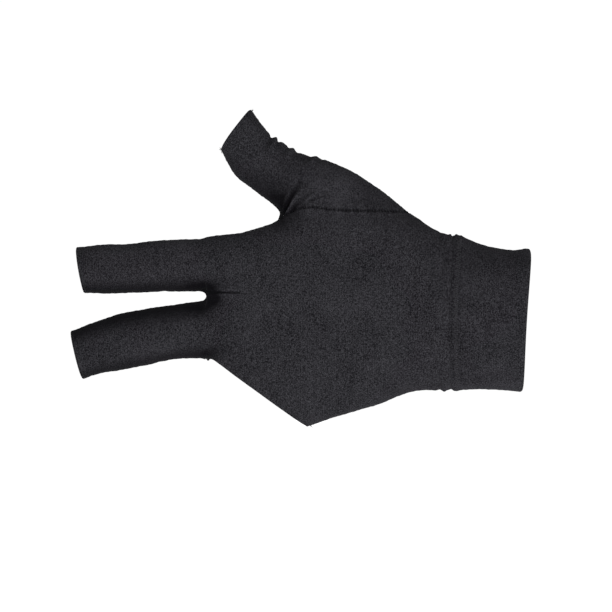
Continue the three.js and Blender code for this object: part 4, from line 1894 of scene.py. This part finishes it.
@dataclass
class WristCuff:
    """The band at the wrist, folded double, with the zigzag that sews it to the hand.

    Attributes:
        proud: How far the band stands above the single cloth.
        rise: Distances past the wrist seam between which it comes up to that.
        lap_edge: Half the width of the lap's slope.
        zigzag_near: Where the zigzag's points lie on the hand's side, past the seam.
        zigzag_far: Where they lie on the other side.
        end_reach: How far the painted light at the open end reaches.
        hole_reach: How far from the seam the band's rim may run.
    """

    proud: float = 0.4 * MM
    rise: tuple[float, float] = (-0.2 * MM, 0.9 * MM)
    seam_lap: float = 4.3 * MM
    lap_rise: float = 0.15 * MM
    lap_edge: float = 0.5 * MM
    zigzag_near: float = 1.1 * MM
    zigzag_far: float = 3.5 * MM
    zigzag_step: float = 0.93 * MM
    thread_radius: float = 0.17 * MM
    thread_arch: float = 0.04 * MM
    dimple_radius: float = 0.5 * MM
    dimple_depth: float = 0.35 * MM
    # Painted shade in the needle dimples and painted light at the open end; the band along the
    # zigzag is a little darker.
    dimple_painted_shade: float = -0.45
    band_tone: float = -0.05
    end_painted_light: float = 0.15
    end_reach: float = 1.4 * MM
    hole_reach: float = 0.6 * MM
    flat: tuple[float, float] = (36.0 * MM, 176.0 * MM)

    def needle_holes(self, cut: Cutting, tailor: Tailor) -> Array:
        """Gives the points where the zigzag goes through the cloth, in order round the wrist."""
        loop = seam_line(cut.cuff, tailor.shape.wrist_seam, self.hole_reach)[0]
        holes = tailor.spaced(loop[:-1], self.zigzag_step)
        reach = np.where(np.arange(len(holes)) % 2 == 0, self.zigzag_near, self.zigzag_far)
        return tailor.shape.settle(holes + np.outer(reach, (1.0, 0.0, 0.0)))

    def build(self, cut: Cutting, tailor: Tailor, knit: Material) -> Object:
        """Makes the band. It rises over the lap of the seam, and each needle hole draws it in."""
        points = cut.cuff.points
        seam = tailor.shape.wrist_seam(points)
        proud = self.proud * ramp(seam, *self.rise)
        lap_start, lap_end = self.seam_lap - self.lap_edge, self.seam_lap + self.lap_edge
        proud += self.lap_rise * ramp(seam, lap_end, lap_start)
        drawn = np.zeros(len(points))
        for hole in self.needle_holes(cut, tailor):
            away = np.linalg.norm(points - hole, axis=1) / self.dimple_radius
            drawn = np.maximum(drawn, np.exp(-away * away))
        proud -= self.dimple_depth * drawn
        # Painted light at the open end and painted shade in the needle dimples; a little darker
        # along the zigzag's band.
        end = hill(tailor.shape.past_cuff_end(points), self.end_reach)
        middle = (self.zigzag_near + self.zigzag_far) / 2
        band = hill(seam - middle, self.zigzag_far)
        tone = self.end_painted_light * end + self.dimple_painted_shade * drawn + self.band_tone * band
        return tailor.cloth(
            "cuff_cloth", cut.cuff, "wrist_cuff", "cuff_knit", knit, cut.cuff_wall, proud,
            rim_steps=8, tone=tone,
        )

    def zigzag(self, cut: Cutting, tailor: Tailor, thread: Material) -> Object:
        """Sews the zigzag around the lap of the wrist seam."""
        holes = self.needle_holes(cut, tailor)
        following, proud = np.roll(holes, -1, axis=0), self.proud + self.lap_rise
        threads = tailor.stitches(holes, following, self.thread_radius, proud, self.thread_arch)
        return tailor.piece("cuff_zigzag", threads, "hem_knit", thread)

    def declare(self, piece: Object, threads: Object) -> None:
        """Leaves the band and its zigzag as they are."""


@dataclass
class TurnedEdges:
    """The turned and stitched edges at the three tips and across the knuckles.

    Attributes:
        proud: How far an edge stands above the single cloth.
        rise: How far before and past its inner rim it comes up to that.
        taper: How near to the middle stall the knuckles' edge starts to get thinner.
        thinnest: The thickness left where it ends, as a share.
        sunk: How far it lies under the panels there.
        stitch_in: How far before the opening the stitches run.
        rim_reach: How far from the opening an edge's rim may run.
    """

    proud: float = 0.15 * MM
    rise: tuple[float, float] = (-0.1 * MM, 0.9 * MM)
    taper: float = 4.5 * MM
    thinnest: float = 0.25
    sunk: float = 0.35 * MM
    stitch_in: float = 1.3 * MM
    stitch_depth: float = 0.12 * MM
    stitch_half: float = 0.32 * MM
    stitch_length: float = 1.5 * MM
    stitch_share: float = 0.78
    thread_radius: float = 0.12 * MM
    thread_arch: float = 0.03 * MM
    thread_sunk: float = 0.1 * MM
    rim_reach: float = 0.3 * MM

    @staticmethod
    def places(cut: Cutting, shape: WornShape) -> list[tuple[str, Skin, OpenEdge]]:
        """Lists each edge's name, its cloth and where it ends."""
        return [
            ("index", cut.index_hem, shape.index_tip),
            ("middle", cut.middle_hem, shape.middle_tip),
            ("thumb", cut.thumb_hem, shape.thumb_tip),
            ("knuckle", cut.knuckle_hem, shape.knuckle_edge),
        ]

    def build(self, cut: Cutting, tailor: Tailor, knit: Material) -> dict[str, Object]:
        """Makes the four edges.

        Args:
            cut: The cut cloth.
            tailor: Makes pieces.
            knit: The edges' material.

        Returns:
            Each edge by its place.
        """
        shape = tailor.shape
        found = {}
        for place, skin, edge in self.places(cut, shape):
            past = edge.beyond(skin.points)
            before, after = self.rise
            proud = self.proud * ramp(past, before - cut.hem_width, after - cut.hem_width)
            groove = hill(past + self.stitch_in, self.stitch_half)
            proud -= self.stitch_depth * groove
            wall = cut.hem_wall
            if place == "knuckle":
                off_middle = shape.limb_distance(shape.middle, skin.points)
                full = ramp(off_middle, cut.corner, self.taper)
                wall = cut.hem_wall * (self.thinnest + (1 - self.thinnest) * full)
                under = ramp(off_middle, cut.corner + self.sunk, cut.corner)
                proud = proud * full - self.sunk * under
            found[place] = tailor.cloth(
                f"{place}_turned_edge", skin, f"{place}_hem", "hem_knit", knit, wall, proud,
                rim_steps=6,
            )
        return found

    def stitch(self, cut: Cutting, tailor: Tailor, thread: Material) -> list[Object]:
        """Sews a line of short stitches along each edge."""
        shape = tailor.shape
        pieces = []
        half = cut.hem_wall / 2
        back_off = self.stitch_in - half
        proud = self.proud - self.thread_sunk
        for place, skin, edge in self.places(cut, shape):
            rows = []
            opening = seam_line(skin, lambda points: edge.beyond(points) + half, self.rim_reach)
            for line in opening:
                moved = shape.settle(line - edge.direction * back_off)
                starts = tailor.spaced(moved, self.stitch_length, closed=False)
                ends = starts[:-1] + (starts[1:] - starts[:-1]) * self.stitch_share
                sewn = (starts[:-1], ends, self.thread_radius, proud, self.thread_arch)
                rows.append(tailor.stitches(*sewn))
            pieces.append(tailor.piece(f"{place}_stitches", joined(rows), "hem_knit", thread))
        return pieces


@dataclass
class LooseEnds:
    """The short ends of sewing thread that stand out where a side seam runs into an open edge."""

    length: float = 1.9 * MM
    spread: float = 0.45
    curl: float = 0.25
    sunk: float = 0.5 * MM
    thread_radius: float = 0.13 * MM
    rows: int = 9
    count: int = 3
    seed: int = 21

    SIDEWAYS = (0.0, 1.0, 0.2)

    def build(self, cut: Cutting, tailor: Tailor, thread: Material) -> Object:
        """Leaves the ends at both corners of the thumb's mouth and at the knuckle edge's corner."""
        shape = tailor.shape
        draw = np.random.default_rng(self.seed)
        share = np.linspace(0, 1, self.rows)[:, None]
        tufts = []
        for points, outward, seen in (
            (cut.thumb_hem.points, (-1.0, 0.0, 0.15), 1.0),
            (cut.thumb_hem.points, (-0.2, 0.0, 1.0), 0.7),
            (cut.knuckle_hem.points, (0.25, 0.0, -1.0), 0.7),
        ):
            way = unit(np.array(outward))
            root = points[np.argmax(points @ way)]
            for _ in range(self.count):
                lean = unit(way + draw.normal(scale=self.spread, size=3))
                curl = draw.normal(scale=self.curl * self.length, size=3)
                run = lean * self.length * seen
                path = root - way * self.sunk + run * share + curl * share * share
                side = np.broadcast_to(unit(np.cross(lean, self.SIDEWAYS)), path.shape)
                tufts.append(tailor.strands(path[None], side[None], self.thread_radius))
        return tailor.piece("loose_thread_ends", joined(tufts), "hem_knit", thread)


@dataclass
class ThumbSeamStitches:
    """The fine stitches that show in the thumb seam."""

    step: float = 1.05 * MM
    half_run: float = 0.15
    half_width: float = 0.45 * MM
    thread_radius: float = 0.09 * MM
    proud: float = 0.05 * MM
    arch: float = 0.02 * MM
    rim_reach: float = 0.4 * MM

    def build(self, cut: Cutting, tailor: Tailor, thread: Material) -> Object:
        """Sews short stitches across the seam's groove."""
        shape = tailor.shape
        rows = []
        for line in seam_line(cut.thumb, shape.thumb_seam, self.rim_reach):
            starts = tailor.spaced(line, self.step, closed=False)[:-1]
            run = unit(np.gradient(starts, axis=0))
            aside = unit(np.cross(run, shape.normals(starts)))
            half = run * self.half_run * self.step + aside * self.half_width
            ends = (shape.settle(starts - half), shape.settle(starts + half))
            rows.append(tailor.stitches(*ends, self.thread_radius, self.proud, self.arch))
        return tailor.piece("thumb_seam_stitches", joined(rows), "knit", thread)


@dataclass
class Studio:
    """The pale floor, the soft light and the camera at the photograph's viewing angle."""

    view_width: float = 263.2 * MM
    view_x: float = -94.6 * MM
    view_z: float = 5.8 * MM
    lens: float = 135.0
    sensor: float = 36.0
    far: float = 50.0
    floor_height: float = -0.34
    floor_radius: float = 6.0
    floor_sides: int = 64
    floor_patch: float = 120.0 * MM
    floor_tones: tuple[Colour, Colour] = ((0.86, 0.86, 0.87), (0.9, 0.9, 0.9))
    floor_glow: float = 0.55
    key_energy: float = 17.0
    key_size: float = 0.45
    key_place: tuple[float, float, float] = (0.02, -0.89, -0.13)
    fill_energy: float = 12.0
    fill_size: float = 0.6
    fill_place: tuple[float, float, float] = (-0.2, 0.92, 0.2)
    eye_level: tuple[float, float] = (0.15, 0.34)
    room_light: tuple[float, float] = (1.02, 0.75)

    def camera(self) -> Object:
        """Sets the camera square to the back of the hand."""
        lens = bpy.data.cameras.new("camera")
        lens.lens = self.lens
        lens.sensor_width = self.sensor
        lens.clip_end = self.far
        away = self.view_width * self.lens / self.sensor
        camera = bpy.data.objects.new("camera", lens)
        camera.location = (self.view_x, -away, self.view_z)
        camera.rotation_euler = (math.radians(90), 0, 0)
        bpy.context.scene.collection.objects.link(camera)
        bpy.context.scene.camera = camera
        return camera

    def floor(self) -> Object:
        """Lays the pale floor well below the glove, which is held up at the wrist."""
        mesh = bpy.data.meshes.new("floor")
        rim = []
        for corner in range(self.floor_sides):
            turn = 2 * math.pi * corner / self.floor_sides
            x, y = self.floor_radius * math.cos(turn), self.floor_radius * math.sin(turn)
            rim.append((x, y, self.floor_height))
        mesh.from_pydata(rim, [], [tuple(range(self.floor_sides))])
        board = Board("pale_floor")
        tone = board.span(board.speckle(self.floor_patch), NOISE_SPAN, (0.0, 1.0))
        board.feed(board.shader.inputs["Base Color"], board.tint(tone, *self.floor_tones))
        board.set(
            Roughness=1.0,
            Specular_IOR_Level=0.0,
            Emission_Color=(1.0, 1.0, 1.0, 1.0),
            Emission_Strength=self.floor_glow,
        )
        mesh.materials.append(board.material)
        floor = bpy.data.objects.new("floor", mesh)
        bpy.context.scene.collection.objects.link(floor)
        return floor

    def lamp(self, name: str, energy: float, size: float, place: Sequence[float]) -> Object:
        """Hangs a soft light that faces the glove.

        Args:
            name: The light's name.
            energy: Its power in watts.
            size: The length of its sides.
            place: Where it hangs.

        Returns:
            The light.
        """
        light = bpy.data.lights.new(name, "AREA")
        light.energy = energy
        light.size = size
        lamp = bpy.data.objects.new(name, light)
        lamp.location = place
        aim = np.array((self.view_x, 0.0, self.view_z)) - np.array(place)
        lamp.rotation_euler = (
            math.atan2(math.hypot(aim[0], aim[1]), -aim[2]),
            0,
            math.atan2(aim[1], aim[0]) - math.pi / 2,
        )
        lamp.visible_camera = False
        bpy.context.scene.collection.objects.link(lamp)
        return lamp

    def surround(self) -> None:
        """Gives a room that is white at the height of the eye and dimmer above and below."""
        world = bpy.data.worlds.new("room")
        world.use_nodes = True
        nodes, links = world.node_tree.nodes, world.node_tree.links
        direction = nodes.new("ShaderNodeTexCoord").outputs["Generated"]
        height = nodes.new("ShaderNodeSeparateXYZ")
        links.new(direction, height.inputs["Vector"])
        steep = nodes.new("ShaderNodeMath")
        steep.operation = "ABSOLUTE"
        links.new(height.outputs["Z"], steep.inputs[0])
        level = nodes.new("ShaderNodeMapRange")
        names = ("From Min", "From Max", "To Min", "To Max")
        for name, value in zip(names, (*self.eye_level, *self.room_light)):
            level.inputs[name].default_value = value
        links.new(steep.outputs["Value"], level.inputs["Value"])
        links.new(level.outputs["Result"], nodes["Background"].inputs["Strength"])
        nodes["Background"].inputs["Color"].default_value = (1.0, 1.0, 1.0, 1.0)
        bpy.context.scene.world = world
        bpy.context.scene.view_settings.view_transform = "Standard"

    def build(self) -> None:
        """Sets up the whole studio."""
        self.camera()
        self.floor()
        self.lamp("key", self.key_energy, self.key_size, self.key_place)
        self.lamp("fill", self.fill_energy, self.fill_size, self.fill_place)
        self.surround()


DEEP: Colour = (0.0019, 0.0018, 0.0022)
CROWN: Colour = (0.0166, 0.0163, 0.0184)
CLOTH = KnitFinish("dark_stretch_knit", DEEP, CROWN)
CUFF_CLOTH = KnitFinish("dark_cuff_knit", DEEP, (0.0161, 0.0158, 0.0179))
EDGE_CLOTH = KnitFinish("dark_turned_knit", DEEP, CROWN, row_share=0.05)
THREAD = ThreadFinish("dark_thread", (0.0024, 0.0024, 0.0028), (0.0140, 0.0137, 0.0155))


def main() -> None:
    """Builds the studio and the glove, piece by piece."""
    logging.basicConfig(level=logging.INFO, format="%(message)s")
    Studio().build()
    shape = WornShape()
    relief = Relief(shape)
    cut = Cutting(shape, relief)
    tailor = Tailor(shape, relief)
    knit, cuff_knit = CLOTH.material(), CUFF_CLOTH.material()
    edge_knit, thread = EDGE_CLOTH.material(), THREAD.material()

    panels, thumb, cuff, edges = HandPanels(), ThumbPiece(), WristCuff(), TurnedEdges()
    hand_pieces = panels.build(cut, tailor, knit)
    thumb_piece = thumb.build(cut, tailor, knit)
    cuff_piece = cuff.build(cut, tailor, cuff_knit)
    edge_pieces = edges.build(cut, tailor, edge_knit)
    zigzag = cuff.zigzag(cut, tailor, thread)
    edge_threads = edges.stitch(cut, tailor, thread)
    seam_threads = ThumbSeamStitches().build(cut, tailor, thread)
    loose_ends = LooseEnds().build(cut, tailor, thread)

    hand_hems = [edge_pieces[place] for place in ("index", "middle", "knuckle")]
    panels.declare(hand_pieces, hand_hems)
    thumb.declare(thumb_piece, edge_pieces["thumb"])
    cuff.declare(cuff_piece, zigzag)

    threads = [zigzag, *edge_threads, seam_threads, loose_ends]
    pieces = [*hand_pieces, thumb_piece, cuff_piece, *edge_pieces.values(), *threads]
    for piece in pieces:
        log.info("%s: %d triangles", piece.name, len(piece.data.polygons))


if __name__ == "__main__":
    main()
